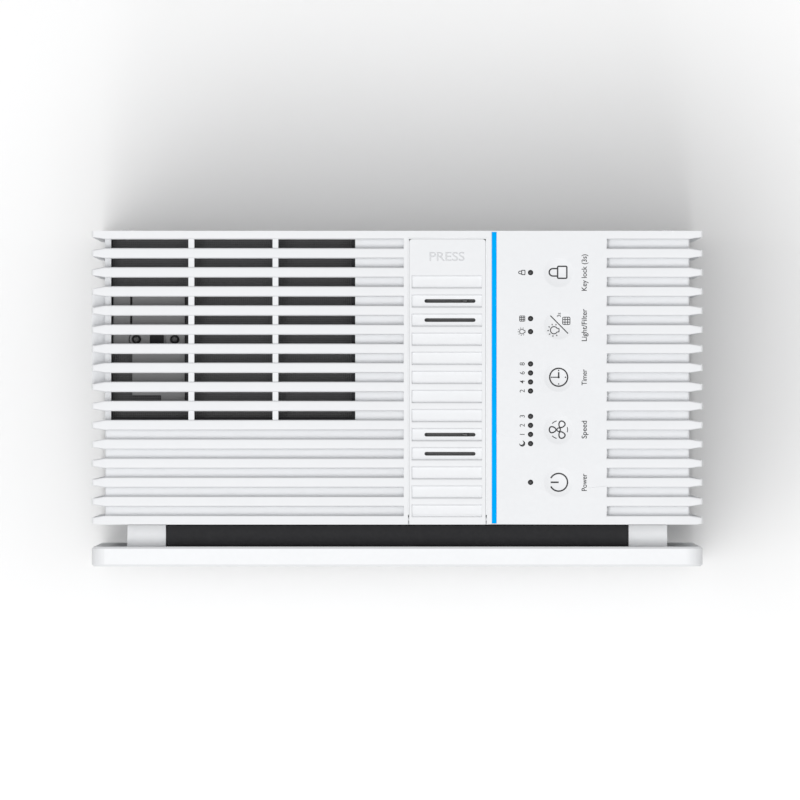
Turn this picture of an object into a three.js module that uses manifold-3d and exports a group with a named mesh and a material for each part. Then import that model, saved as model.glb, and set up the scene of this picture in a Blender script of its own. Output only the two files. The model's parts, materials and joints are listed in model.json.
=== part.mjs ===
// Room air purifier: a ribbed white housing with a front cover that stands off the air intake.
// Millimetres, +Z up, front towards -Y, origin at the centre of the footprint on the floor.

import * as THREE from 'three';
import { mergeVertices } from 'three/addons/utils/BufferGeometryUtils.js';
import Module from 'manifold-3d';

const wasm = await Module();
wasm.setup();

// ---- Driving dimensions -------------------------------------------------------------------------

const HEIGHT = 460;               // floor to the rib tops
const WIDTH = 352;                // over the rib tips
const DEPTH = 193.3;              // front cover face to rear face
const GAP = 0.3;                  // free space between neighbouring pieces
const OVERSHOOT = 20;             // how far a cutting tool runs past what it cuts

const BACK_Y = DEPTH / 2;
const COVER_THICKNESS = 11.4;
const STANDOFF = 12.7;            // air gap between the front cover and the body
const COVER_FRONT_Y = -DEPTH / 2;
const COVER_BACK_Y = COVER_FRONT_Y + COVER_THICKNESS;
const BODY_FRONT_Y = COVER_BACK_Y + STANDOFF;

const RIB_COUNT = 16;
const RIB_PITCH = 11;
const RIB_DEPTH = 7.6;            // tip above the wall between ribs
const RIB_ROOT = 5.8;
const RIB_TIP = 3.5;              // the ribs narrow to this at the sides
const RIB_CORNER = 1.4;           // radius of a rib where it turns from the top to the side
const COVER_CORNER = 9;
const FIRST_RIB_Y = BACK_Y - 1.9;

const WALL_X = WIDTH / 2 - RIB_DEPTH;
const ROOF_Z = HEIGHT - RIB_DEPTH;
const SIDE_WALL = 3.5;
const ROOF = 3;
const INNER_X = WALL_X - SIDE_WALL;
const CEILING_Z = ROOF_Z - ROOF;
const SHELL_BOTTOM_Z = 14;
const FLOOR_PLATE = 3;
const FLOOR_Z = SHELL_BOTTOM_Z + FLOOR_PLATE;
const PARTING_Z = 380;            // where the top cover sits on the main shell

const CONSOLE_LEFT = 3.7;         // raised flat part of the top, with the lid and the keys
const CONSOLE_RIGHT = 121;
const PANEL_WALL = 2.8;

const WINDOW_ROWS = 10;
const WINDOW_COLUMNS = [[-164.9, -120.3], [-116.9, -71.8], [-68.5, -24.2]];

const LID_LEFT = 6.9;
const LID_RIGHT = 50.9;
const LID_BACK_Y = 91.9;
const LID_THICKNESS = 3.4;
const LID_CLEARANCE = 0.7;
const LID_HINGE_Y = -69.5;
const LID_HINGE_Z = 457.2;
const LEDGE_Z = 452.6;            // shelf under the lid that carries the scent tray
const SLOT_ROWS = [3, 4, 10, 11];

const STRIP_LEFT = 54.6;
const STRIP_RIGHT = 57.1;

const KEY_X = 92.9;
const KEY_YS = [72.6, 42.4, 12.3, -17.9, -48.2];
const KEY_RADIUS = 8.6;
const KEY_DISH = 0.9;
const LED_X = 76.8;
const LED_YS = [72.6, 46.1, 38.6, 20.0, 14.8, 9.6, 4.4, -10.2, -15.4, -20.6, -25.9, -48.2];
const LED_RADIUS = 1.3;

const RAIL_INNER_X = 133.4;       // stand-off rails on the back of the front cover
const RAIL_OUTER_X = 155.7;
const RAIL_TOP_Z = HEIGHT - 22;
const RAIL_BOTTOM_Z = 24;
const GRILLE_TOP_Z = HEIGHT - 20;

const FAN_X = 10;                 // fan axis, which runs from front to back
const FAN_Z = 220;
const FILTER_X = 125;
const FILTER_Z0 = FAN_Z - 178;
const FILTER_Z1 = FAN_Z + 178;
const SLEEVE_BACK_Y = -17.7;
const SCROLL_FRONT_Y = -13.8;
const SCROLL_BACK_Y = 58;
const SCROLL_TOP_Z = 330;
const SCROLL_WALL = 2.5;
const SCROLL_TONGUE = 106;        // radius of the scroll where it starts
const SCROLL_GROWTH = 56;
const IMPELLER_RADIUS = 98;
const DUCT_RIGHT_X = -22;
const GUARD_Z = 424;

const DOOR_Y0 = 11.3;             // sensor door in the left side
const DOOR_Y1 = 57.2;
const DOOR_Z0 = 393.3;
const DOOR_Z1 = 434.7;
const DOOR_HINGE_X = -174.3;
const DOOR_HINGE_Z = 395.2;

// ---- Materials ----------------------------------------------------------------------------------

function finish(color, roughness, metalness = 0) {
  return { color, roughness, metalness };
}

const WHITE = finish(0xf1f2f4, 0.42);
const WHITE_GLOSS = finish(0xf4f5f7, 0.25);
const CHARCOAL = finish(0x2c2d2f, 0.6);
const GREY = finish(0x6a6b6d, 0.55);
const BLUE_GLOW = finish(0x00aaff, 0.3);
const SMOKE = finish(0x3a3b3d, 0.2);
const PAPER = finish(0xe9e8e2, 0.9);
const CARBON = finish(0x1b1b1c, 0.95);
const FELT = finish(0xd9cfe0, 0.95);
const RUBBER = finish(0x232324, 0.85);
const STEEL = finish(0xb9bbbe, 0.35, 1);
const BOARD = finish(0x1d5a38, 0.5);
const COPPER = finish(0xc98d4b, 0.35, 1);

// ---- Solid helpers ------------------------------------------------------------------------------

function solid(geometry) {
  const bare = geometry.index ? geometry.toNonIndexed() : geometry.clone();
  bare.deleteAttribute('normal');
  bare.deleteAttribute('uv');
  const welded = mergeVertices(bare, 1e-4);
  const mesh = new wasm.Mesh({
    numProp: 3,
    vertProperties: new Float32Array(welded.attributes.position.array),
    triVerts: new Uint32Array(welded.index.array),
  });
  mesh.merge();
  return new wasm.Manifold(mesh);
}

function geometryOf(body) {
  const mesh = body.getMesh();
  const geometry = new THREE.BufferGeometry();
  geometry.setAttribute('position', new THREE.BufferAttribute(mesh.vertProperties, 3));
  geometry.setIndex(new THREE.BufferAttribute(mesh.triVerts, 1));
  return geometry;
}

function block(x0, x1, y0, y1, z0, z1) {
  const geometry = new THREE.BoxGeometry(x1 - x0, y1 - y0, z1 - z0);
  geometry.translate((x0 + x1) / 2, (y0 + y1) / 2, (z0 + z1) / 2);
  return solid(geometry);
}

function cylinder(axis, radius, from, to, a, b, sides = 20) {
  const geometry = new THREE.CylinderGeometry(radius, radius, to - from, sides);
  const middle = (from + to) / 2;
  if (axis === 'x') {
    geometry.rotateZ(Math.PI / 2).translate(middle, a, b);
  } else if (axis === 'y') {
    geometry.translate(a, middle, b);
  } else {
    geometry.rotateX(Math.PI / 2).translate(a, b, middle);
  }
  return solid(geometry);
}

// A profile of [radius, height] points turned about +Z, then laid down to run along +Y if asked.
function turned(points, sides, alongY = false) {
  const profile = points.map(([radius, height]) => new THREE.Vector2(radius, height));
  const geometry = new THREE.LatheGeometry(profile, sides);
  if (!alongY) {
    geometry.rotateX(Math.PI / 2);
  }
  return solid(geometry);
}

function ringOf(points) {
  return [...points, points[0]];
}

// An outline in X and Z, pushed from y0 to y1.
function slab(shape, y0, y1, options = {}) {
  const geometry = new THREE.ExtrudeGeometry(shape, {
    depth: y1 - y0,
    bevelEnabled: false,
    ...options,
  });
  geometry.rotateX(Math.PI / 2).translate(0, y1, 0);
  return solid(geometry);
}

// An outline in X and Y, pushed from z0 to z1.
function plate(shape, z0, z1) {
  const geometry = new THREE.ExtrudeGeometry(shape, { depth: z1 - z0, bevelEnabled: false });
  geometry.translate(0, 0, z0);
  return solid(geometry);
}

// An outline in Y and Z, pushed from x0 to x1.
function sidePrism(points, x0, x1) {
  const shape = new THREE.Shape(points.map(([y, z]) => new THREE.Vector2(y, z)));
  const geometry = new THREE.ExtrudeGeometry(shape, { depth: x1 - x0, bevelEnabled: false });
  geometry.rotateX(Math.PI / 2).rotateZ(Math.PI / 2).translate(x0, 0, 0);
  return solid(geometry);
}

function polygon(points) {
  return new THREE.Shape(points.map(([a, b]) => new THREE.Vector2(a, b)));
}

function roundedRectangle(a0, a1, b0, b1, lower, upper, steps = 6) {
  const corners = [
    [a1 - lower, b0 + lower, lower, -Math.PI / 2],
    [a1 - upper, b1 - upper, upper, 0],
    [a0 + upper, b1 - upper, upper, Math.PI / 2],
    [a0 + lower, b0 + lower, lower, Math.PI],
  ];
  const points = [];
  for (const [a, b, radius, start] of corners) {
    const count = radius > 0 ? steps : 0;
    for (let step = 0; step <= count; step += 1) {
      const angle = start + (Math.PI / 2) * (count ? step / count : 0);
      points.push([a + radius * Math.cos(angle), b + radius * Math.sin(angle)]);
    }
  }
  return polygon(points);
}

function roundSlot(x0, x1, y, width, z0, z1) {
  return plate(roundedRectangle(x0, x1, y - width / 2, y + width / 2, width / 2, width / 2, 3), z0, z1);
}

function joined(solids) {
  return solids.reduce((whole, next) => whole.add(next));
}

function ribY(index) {
  return FIRST_RIB_Y - RIB_PITCH * index;
}

function gapY(index) {
  return ribY(index + 0.5);
}

const model = new THREE.Group();

function put(parent, name, body, look) {
  const material = new THREE.MeshStandardMaterial(look);
  const mesh = new THREE.Mesh(geometryOf(body), material);
  mesh.name = name;
  parent.add(mesh);
}

// ---- Ribbed housing -----------------------------------------------------------------------------

function ribbedBlock() {
  const half = WIDTH / 2;
  const below = SHELL_BOTTOM_Z - OVERSHOOT;
  const core = slab(
    roundedRectangle(-WALL_X, WALL_X, SHELL_BOTTOM_Z, ROOF_Z, 0, 1.2, 3), BODY_FRONT_Y, BACK_Y);
  const ribs = [];
  for (let index = 0; index < RIB_COUNT; index += 1) {
    const middle = ribY(index);
    const root = RIB_ROOT / 2;
    const tip = RIB_TIP / 2;
    ribs.push(plate(polygon([
      [-half, middle - tip], [-WALL_X, middle - root], [WALL_X, middle - root], [half, middle - tip],
      [half, middle + tip], [WALL_X, middle + root], [-WALL_X, middle + root], [-half, middle + tip],
    ]), below, HEIGHT + OVERSHOOT));
  }
  const limits = slab(
    roundedRectangle(-half, half, SHELL_BOTTOM_Z, HEIGHT, 0, RIB_CORNER, 4), BODY_FRONT_Y, BACK_Y);
  const platform = block(CONSOLE_LEFT, CONSOLE_RIGHT, BODY_FRONT_Y, BACK_Y, CEILING_Z, HEIGHT);
  const doorPad = block(-half, -WALL_X + 1, ribY(8), ribY(3), DOOR_Z0 - 5.3, DOOR_Z1 + 5.3);
  const cavity = block(
    -INNER_X, INNER_X, BODY_FRONT_Y - OVERSHOOT, BACK_Y + OVERSHOOT, FLOOR_Z, CEILING_Z);
  return joined([core, ...ribs]).intersect(limits).add(platform).add(doorPad).subtract(cavity);
}

// Slots between the ribs. Each also dips over the left wall.
function outletWindows() {
  const width = RIB_PITCH - RIB_ROOT - 0.2;
  const wallDip = ROOF_Z - 5;
  const cuts = [];
  for (let row = 0; row < WINDOW_ROWS; row += 1) {
    const y0 = gapY(row) - width / 2;
    const y1 = gapY(row) + width / 2;
    for (const [left, right] of WINDOW_COLUMNS) {
      cuts.push(block(left, right, y0, y1, CEILING_Z - 2, HEIGHT));
    }
    cuts.push(block(-WIDTH / 2 - 1, WINDOW_COLUMNS[0][0] + 1, y0, y1, wallDip, HEIGHT));
  }
  return joined(cuts);
}

function outletCrossBars() {
  const front = gapY(WINDOW_ROWS - 1) - RIB_PITCH / 2;
  const back = gapY(0) + RIB_PITCH / 2;
  const bars = [];
  for (let column = 1; column < WINDOW_COLUMNS.length; column += 1) {
    const left = WINDOW_COLUMNS[column - 1][1];
    const right = WINDOW_COLUMNS[column][0];
    bars.push(block(left, right, front, back, CEILING_Z, HEIGHT - 1));
  }
  return joined(bars);
}

function keyDish(y) {
  const profile = [0, 0.35, 0.6, 0.8, 1].map((share) => (
    [share * KEY_RADIUS, (share ** 2 - 1) * KEY_DISH]));
  profile.push([KEY_RADIUS, 2], [0, 2]);
  return turned(profile, 24).translate([KEY_X, y, HEIGHT]);
}

function lidHingeCuts() {
  const opening = LID_CLEARANCE;
  return joined([
    block(LID_LEFT - opening, LID_RIGHT + opening, BODY_FRONT_Y - 1, -64, LEDGE_Z, HEIGHT + 1),
    block(LID_LEFT - opening, LID_RIGHT + opening, -64.5, LID_BACK_Y + opening, LEDGE_Z, HEIGHT + 1),
    cylinder('x', 1.6, 4.4, 54, LID_HINGE_Y, LID_HINGE_Z, 12),
  ]);
}

const TRAY = { x0: 10.6, x1: 47.2, y0: -47.5, y1: 71.5 };
const LATCH = { x0: 22.5, x1: 35.5, y0: 76.5, y1: 90 };
const PLUNGER = { x0: 25.5, x1: 32.5, y0: 79.5, y1: 86.5, z0: 440.3, z1: 454.2 };

function consoleCuts() {
  const keys = KEY_YS.map(keyDish);
  const lights = LED_YS.map((y) => (
    cylinder('z', LED_RADIUS + 0.15, HEIGHT - PANEL_WALL - 1, HEIGHT + 1, LED_X, y, 12)));
  const strip = block(
    STRIP_LEFT - 0.15, STRIP_RIGHT + 0.15, BODY_FRONT_Y + 0.6, BACK_Y - 0.6, 455.2, HEIGHT + 1);
  const hollow = block(
    59, 118.5, BODY_FRONT_Y + 3.5, BACK_Y - 3.7, CEILING_Z - 1, HEIGHT - PANEL_WALL);
  const trayHole = block(
    TRAY.x0 - 0.4, TRAY.x1 + 0.4, TRAY.y0 - 0.4, TRAY.y1 + 0.4, CEILING_Z - 1, LEDGE_Z + 1);
  const plungerHole = block(
    PLUNGER.x0 - 0.4, PLUNGER.x1 + 0.4, PLUNGER.y0 - 0.4, PLUNGER.y1 + 0.4, CEILING_Z - 1,
    LEDGE_Z + 1);
  return joined([...keys, ...lights, strip, hollow, trayHole, plungerHole, lidHingeCuts()]);
}

function doorCuts() {
  const swing = 1.1;              // room for the door's lower edge as it turns
  const pocket = block(
    -WIDTH / 2 - 1, -170.4, DOOR_Y0 - 0.4, DOOR_Y1 + 0.4, DOOR_Z0 - swing, DOOR_Z1 + 0.4);
  const airway = block(-172, -160, DOOR_Y0 + 6, DOOR_Y1 - 6, DOOR_Z0 + 6, DOOR_Z1 - 6);
  const pegs = cylinder('y', 1.4, DOOR_Y0 - 2.4, DOOR_Y1 + 2.4, DOOR_HINGE_X, DOOR_HINGE_Z, 10);
  return joined([pocket, airway, pegs]);
}

const SHELL_SCREWS = [[-96, -52], [96, -52], [-96, 78], [96, 78]];
const REAR_SCREWS = [[-156, 40], [156, 40], [-156, 436], [156, 436]];

function makeHousing(parent) {
  const whole = ribbedBlock();
  const half = WIDTH / 2 + 1;
  const upper = block(-half, half, BODY_FRONT_Y - 1, BACK_Y + 1, PARTING_Z + GAP / 2, HEIGHT + 1);
  const lower = block(-half, half, BODY_FRONT_Y - 1, BACK_Y + 1, 0, PARTING_Z - GAP / 2);
  const topCover = whole.intersect(upper)
    .subtract(outletWindows())
    .add(outletCrossBars())
    .subtract(consoleCuts())
    .subtract(doorCuts());
  put(parent, 'top_cover', topCover, WHITE);

  const holes = SHELL_SCREWS.map(([x, y]) => cylinder('z', 2, 0, 40, x, y, 8));
  const stands = BOARD_STANDS.map(([x, y]) => cylinder('z', 3.5, FLOOR_Z - 1, BOARD_Z - GAP, x, y, 8));
  const mainShell = whole.intersect(lower).subtract(joined(holes)).add(joined(stands));
  put(parent, 'main_shell', mainShell, WHITE);
}

// ---- Base ---------------------------------------------------------------------------------------

const BASE_Z0 = 5.5;
const BASE = { halfX: 158, y0: -66, y1: 90, corner: 10 };
const FOOT = { tread: 9.5, root: 11 };
const SHELL_SCREW = { head: 3.5, rise: 2.2, shank: 1.7, length: 11, sunk: 2.7 };
const FOOT_SPOTS = [[-138, -50], [138, -50], [-138, 74], [138, 74]];

function screwBody({ head, rise, shank, length }) {
  const crown = head * 0.85;
  const profile = [[0, -length], [shank, -length], [shank, 0], [head, 0], [crown, rise], [0, rise]];
  const drive = head * 0.35;
  const socket = block(-drive, drive, -drive, drive, rise * 0.4, rise + 1);
  return turned(profile, 10).subtract(socket);
}

function makeBase(parent) {
  const outline = roundedRectangle(
    -BASE.halfX, BASE.halfX, BASE.y0, BASE.y1, BASE.corner, BASE.corner, 6);
  let tray = plate(outline, BASE_Z0, SHELL_BOTTOM_Z - GAP);
  const headPocket = SHELL_SCREW.head + 0.7;
  for (const [x, y] of SHELL_SCREWS) {
    tray = tray.subtract(cylinder('z', SHELL_SCREW.shank + 0.3, 0, 40, x, y, 8));
    tray = tray.subtract(cylinder('z', headPocket, 0, BASE_Z0 + 3, x, y, 12));
  }
  put(parent, 'base_tray', tray, WHITE);

  SHELL_SCREWS.forEach(([x, y], index) => {
    const seat = BASE_Z0 + SHELL_SCREW.sunk;
    const screw = screwBody(SHELL_SCREW).rotate([180, 0, 0]).translate([x, y, seat]);
    put(parent, `base_screw_${index + 1}`, screw, STEEL);
  });

  FOOT_SPOTS.forEach(([x, y], index) => {
    const top = BASE_Z0 - GAP;
    const profile = [[0, 0], [FOOT.tread, 0], [FOOT.root, top], [0, top]];
    put(parent, `foot_${index + 1}`, turned(profile, 16).translate([x, y, 0]), RUBBER);
  });
}

// ---- Rear panel ---------------------------------------------------------------------------------

const REAR_PANEL = 3;
const REAR_INNER_Y = BACK_Y - REAR_PANEL;
const GRIP = { x: 58, z0: 326, z1: 360, wall: 2.5, depth: 20 };
const INLET = { x: 118, z: 46, halfWidth: 13, halfHeight: 9, back: 78 };
const REAR_SCREW = { head: 3.4, rise: 1.9, shank: 1.6, length: 9, sunk: 1.2 };

function makeRearPanel(parent) {
  const edge = INNER_X - GAP;
  let panel = block(-edge, edge, REAR_INNER_Y, BACK_Y, FLOOR_Z + GAP, CEILING_Z - GAP);
  const pocketY = BACK_Y - GRIP.depth;
  const outer = slab(
    roundedRectangle(-GRIP.x - GRIP.wall, GRIP.x + GRIP.wall, GRIP.z0 - GRIP.wall,
      GRIP.z1 + GRIP.wall, 12, 12, 6), pocketY - GRIP.wall, BACK_Y - 0.5);
  const inner = slab(
    roundedRectangle(-GRIP.x, GRIP.x, GRIP.z0, GRIP.z1, 9.5, 9.5, 6), pocketY, BACK_Y + 1);
  panel = panel.add(outer).subtract(inner);
  panel = panel.subtract(block(
    INLET.x - INLET.halfWidth - GAP, INLET.x + INLET.halfWidth + GAP, REAR_INNER_Y - 1, BACK_Y + 1,
    INLET.z - INLET.halfHeight - GAP, INLET.z + INLET.halfHeight + GAP));
  for (const [x, z] of REAR_SCREWS) {
    panel = panel.subtract(cylinder('y', 2, REAR_INNER_Y - 1, BACK_Y + 1, x, z, 8));
    panel = panel.subtract(cylinder('y', 4, BACK_Y - 1.5, BACK_Y + 1, x, z, 12));
  }
  put(parent, 'rear_panel', panel, WHITE);

  REAR_SCREWS.forEach(([x, z], index) => {
    const seat = BACK_Y - REAR_SCREW.sunk;
    const screw = screwBody(REAR_SCREW).rotate([-90, 0, 0]).translate([x, seat, z]);
    put(parent, `rear_screw_${index + 1}`, screw, STEEL);
  });
}

// A two-pin appliance inlet, flush with the rear panel. Its pins stand in a figure-eight recess.
function makeMainsInlet(parent) {
  const face = BACK_Y - 0.3;
  const floor = face - 13;
  const spread = 4.3;             // each pin from the middle of the inlet
  const lobeRadius = 4.6;
  const pinRadius = 1.2;
  const body = block(
    INLET.x - INLET.halfWidth, INLET.x + INLET.halfWidth, INLET.back, face,
    INLET.z - INLET.halfHeight, INLET.z + INLET.halfHeight);
  const lobes = [-spread, spread].map((x) => (
    cylinder('y', lobeRadius, floor, face + 1, INLET.x + x, INLET.z, 24)));
  const bridge = block(
    INLET.x - spread, INLET.x + spread, floor, face + 1, INLET.z - 4, INLET.z + 4);
  const pins = [-spread, spread].map((x) => (
    cylinder('y', pinRadius, floor - 1, face - 3, INLET.x + x, INLET.z, 8)));
  const inlet = body.subtract(joined([...lobes, bridge])).add(joined(pins));
  put(parent, 'mains_inlet', inlet, CHARCOAL);
}

// ---- Front: bulkhead, filters, cover ------------------------------------------------------------

function makeBulkhead(parent) {
  const edge = INNER_X - GAP;
  const wall = 2.5;
  const clear = 0.4;
  const sheet = block(
    -edge, edge, BODY_FRONT_Y, BODY_FRONT_Y + 3, FLOOR_Z + GAP, CEILING_Z - GAP);
  const sleeve = block(
    -FILTER_X - clear - wall, FILTER_X + clear + wall, BODY_FRONT_Y + 1, SLEEVE_BACK_Y,
    FILTER_Z0 - clear - wall, FILTER_Z1 + clear + wall);
  const bay = block(
    -FILTER_X - clear, FILTER_X + clear, BODY_FRONT_Y - 1, SLEEVE_BACK_Y - wall,
    FILTER_Z0 - clear, FILTER_Z1 + clear);
  const mouthRadius = 92;
  const mouth = cylinder(
    'y', mouthRadius, SLEEVE_BACK_Y - wall - 1, SLEEVE_BACK_Y + 1, FAN_X, FAN_Z, 32);
  put(parent, 'front_bulkhead', sheet.add(sleeve).subtract(bay).subtract(mouth), CHARCOAL);

  const reed = block(
    RAIL_INNER_X + 4, RAIL_INNER_X + 18, BODY_FRONT_Y + 3 + GAP, BODY_FRONT_Y + 9, 404, 410);
  put(parent, 'reed_switch', reed, CHARCOAL);
}

function filterFrame(y0, y1, border) {
  const outer = block(-FILTER_X, FILTER_X, y0, y1, FILTER_Z0, FILTER_Z1);
  return outer.subtract(block(
    -FILTER_X + border, FILTER_X - border, y0 - 1, y1 + 1, FILTER_Z0 + border, FILTER_Z1 - border));
}

// A frame crossed by bars in both directions.
function makePrefilter(parent) {
  const y0 = BODY_FRONT_Y + 0.4;
  const y1 = y0 + 4;
  let frame = filterFrame(y0, y1, 7);
  const columns = 3;
  const rows = 4;
  for (let index = 1; index < columns; index += 1) {
    const x = -FILTER_X + (2 * FILTER_X * index) / columns;
    frame = frame.add(block(x - 1, x + 1, y0 + 0.5, y1 - 0.5, FILTER_Z0 + 1, FILTER_Z1 - 1));
  }
  for (let index = 1; index < rows; index += 1) {
    const z = FILTER_Z0 + ((FILTER_Z1 - FILTER_Z0) * index) / rows;
    frame = frame.add(block(-FILTER_X + 1, FILTER_X - 1, y0 + 0.5, y1 - 0.5, z - 1, z + 1));
  }
  const sheet = block(
    -FILTER_X + 6, FILTER_X - 6, y0 + 1.6, y0 + 2.4, FILTER_Z0 + 6, FILTER_Z1 - 6);
  put(parent, 'prefilter', frame.add(sheet), CHARCOAL);
}

function makeFilters(parent) {
  const hepaY0 = BODY_FRONT_Y + 4.8;
  const hepaY1 = hepaY0 + 34.5;
  const frame = block(-FILTER_X, FILTER_X, hepaY0, hepaY1, FILTER_Z0, FILTER_Z1);
  const recess = 2;
  const border = 5;
  const faces = [[hepaY0 - 1, hepaY0 + recess], [hepaY1 - recess, hepaY1 + 1]].map(([y0, y1]) => (
    block(-FILTER_X + border, FILTER_X - border, y0, y1, FILTER_Z0 + border, FILTER_Z1 - border)));
  put(parent, 'hepa_filter', frame.subtract(joined(faces)), PAPER);

  const carbonY0 = hepaY1 + 0.4;
  const carbon = block(
    -FILTER_X, FILTER_X, carbonY0, SLEEVE_BACK_Y - 2.5 - 0.4, FILTER_Z0, FILTER_Z1);
  put(parent, 'carbon_filter', carbon, CARBON);
}

function rail(side) {
  const x0 = side > 0 ? RAIL_INNER_X : -RAIL_OUTER_X;
  const x1 = side > 0 ? RAIL_OUTER_X : -RAIL_INNER_X;
  let bar = block(x0, x1, COVER_BACK_Y - 1, BODY_FRONT_Y - GAP, RAIL_BOTTOM_Z, RAIL_TOP_Z);
  const slots = 8;
  const first = 44;
  const pitch = 48;
  const height = 40;
  const flange = 2.5;             // left along the cover and along the body
  const y0 = COVER_BACK_Y + flange - GAP;
  const y1 = BODY_FRONT_Y - flange - GAP;
  for (let index = 0; index < slots; index += 1) {
    const z = first + pitch * index;
    bar = bar.subtract(block(x0 - 1, x1 + 1, y0, y1, z, z + height));
  }
  return bar;
}

const MAGNET_SPOTS = [[-144.5, 429], [144.5, 429], [-144.5, 34], [144.5, 34]];
const MAGNET = { radius: 3.5, thickness: 2.2 };

function makeFrontCover(parent) {
  const edge = 1.2;
  const half = WIDTH / 2;
  const shape = roundedRectangle(
    -half, half, SHELL_BOTTOM_Z, HEIGHT, COVER_CORNER, COVER_CORNER, 8);
  let cover = slab(shape, COVER_FRONT_Y + edge, COVER_BACK_Y - edge, {
    bevelEnabled: true,
    bevelSegments: 1,
    bevelThickness: edge,
    bevelSize: edge,
    bevelOffset: -edge,
  });
  const hollow = { halfX: 128, z0: 34, z1: 436, skin: 3 };
  cover = cover.subtract(block(
    -hollow.halfX, hollow.halfX, COVER_FRONT_Y + hollow.skin, COVER_BACK_Y + 1, hollow.z0, hollow.z1));
  cover = cover.add(rail(-1)).add(rail(1));
  for (const [x, z] of MAGNET_SPOTS) {
    cover = cover.subtract(cylinder(
      'y', MAGNET.radius + GAP, BODY_FRONT_Y - MAGNET.thickness - 0.7, BODY_FRONT_Y, x, z, 12));
  }
  put(parent, 'front_cover', cover, WHITE_GLOSS);

  MAGNET_SPOTS.forEach(([x, z], index) => {
    const y = BODY_FRONT_Y - GAP;
    const magnet = cylinder('y', MAGNET.radius, y - MAGNET.thickness, y, x, z, 12);
    put(parent, `cover_magnet_${index + 1}`, magnet, STEEL);
  });
}

function makeIntakeGrille(parent) {
  const x = RAIL_INNER_X - 0.4;
  const y0 = COVER_BACK_Y + 0.35;
  const y1 = BODY_FRONT_Y - 0.5;
  const bottom = 28;
  const border = 4;
  let grille = block(-x, x, y0, y1, bottom, GRILLE_TOP_Z).subtract(block(
    -x + border, x - border, y0 - 1, y1 + 1, bottom + border, GRILLE_TOP_Z - 2.5));
  const louvres = 14;
  for (let index = 1; index <= louvres; index += 1) {
    const z = bottom + ((GRILLE_TOP_Z - bottom) * index) / (louvres + 1);
    grille = grille.add(sidePrism(
      [[y0 + 1.5, z + 2.4], [y0 + 1.5, z + 0.8], [y1 - 1, z - 2.4], [y1 - 1, z - 0.8]],
      -x + 1, x - 1));
  }
  put(parent, 'intake_grille', grille, CHARCOAL);
}

// ---- Fan ----------------------------------------------------------------------------------------

// The scroll wall: its radius grows steadily clockwise from the tongue, seen from the front.
function scrollOutline(grow, top) {
  const start = THREE.MathUtils.degToRad(112);
  const sweep = THREE.MathUtils.degToRad(292);
  const steps = 26;
  const points = [];
  for (let step = 0; step <= steps; step += 1) {
    const angle = start - (sweep * step) / steps;
    const radius = SCROLL_TONGUE + (SCROLL_GROWTH * step) / steps + grow;
    points.push([FAN_X + radius * Math.cos(angle), FAN_Z + radius * Math.sin(angle)]);
  }
  const left = points[points.length - 1][0];
  points.push([left, top]);
  points.push([DUCT_RIGHT_X - 3.5 + grow, top]);
  return polygon(points.reverse());
}

function makeScroll(parent) {
  const shell = slab(scrollOutline(SCROLL_WALL, SCROLL_TOP_Z), SCROLL_FRONT_Y, SCROLL_BACK_Y);
  const hollow = slab(
    scrollOutline(0, SCROLL_TOP_Z + 1), SCROLL_FRONT_Y + SCROLL_WALL, SCROLL_BACK_Y - SCROLL_WALL);
  const inletRadius = 80;
  const axleRadius = 14;
  const inlet = cylinder(
    'y', inletRadius, SCROLL_FRONT_Y - 1, SCROLL_FRONT_Y + 5, FAN_X, FAN_Z, 32);
  const axle = cylinder('y', axleRadius, SCROLL_BACK_Y - 5, SCROLL_BACK_Y + 1, FAN_X, FAN_Z, 16);
  put(parent, 'fan_scroll', shell.subtract(hollow).subtract(inlet).subtract(axle), GREY);

  const lip = ringOf([
    [98, -17.2], [98, -14.4], [79, -14.4], [74, -9], [73, 0], [71, 0], [72, -10], [78, -17.2],
  ]);
  put(parent, 'inlet_ring', turned(lip, 32, true).translate([FAN_X, 0, FAN_Z]), GREY);
}

function bladeShape(angle) {
  const inner = 72;
  const steps = 3;
  const sweepBack = THREE.MathUtils.degToRad(26);
  const thickness = 1.8;
  const points = [];
  for (const side of [1, -1]) {
    for (let step = 0; step <= steps; step += 1) {
      const t = side > 0 ? step / steps : 1 - step / steps;
      const radius = inner + (IMPELLER_RADIUS - 1 - inner) * t;
      const turn = angle + sweepBack * t * t + (side * thickness) / 2 / radius;
      points.push([radius * Math.cos(turn), radius * Math.sin(turn)]);
    }
  }
  return polygon(points);
}

function makeFan(parent) {
  const backY = 48;
  const frontY = 5;
  const sides = 24;
  const hub = turned(ringOf([
    [4.3, 22], [12, 22], [18, 42], [46, backY - 2], [IMPELLER_RADIUS, backY - 2],
    [IMPELLER_RADIUS, backY], [14, 53], [4.3, 53],
  ]), sides, true);
  const shroud = turned(ringOf([
    [75.5, -5], [77.5, -5], [IMPELLER_RADIUS, frontY], [IMPELLER_RADIUS, frontY + 2],
    [80, 0], [75.5, -2],
  ]), sides, true);
  const blades = [];
  const count = 18;
  for (let index = 0; index < count; index += 1) {
    blades.push(slab(bladeShape((2 * Math.PI * index) / count), 1.5, backY - 1));
  }
  const coneClearance = turned([
    [0, -1], [76, -1], [IMPELLER_RADIUS + 2, frontY + 1.2], [IMPELLER_RADIUS + 2, -9], [0, -9],
  ].reverse(), sides, true);
  const trimmed = joined(blades).subtract(coneClearance);
  put(parent, 'impeller', joined([hub, shroud, trimmed]).translate([FAN_X, 0, FAN_Z]), GREY);

  put(parent, 'fan_shaft', cylinder('y', 4, 12, 80, FAN_X, FAN_Z, 12), STEEL);
  const nut = turned([[0, 14], [8, 14], [9, 15], [9, 21.6], [0, 21.6]], 6, true)
    .subtract(cylinder('y', 4.3, 13, 23, 0, 0, 12));
  put(parent, 'impeller_nut', nut.translate([FAN_X, 0, FAN_Z]), STEEL);
}

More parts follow.
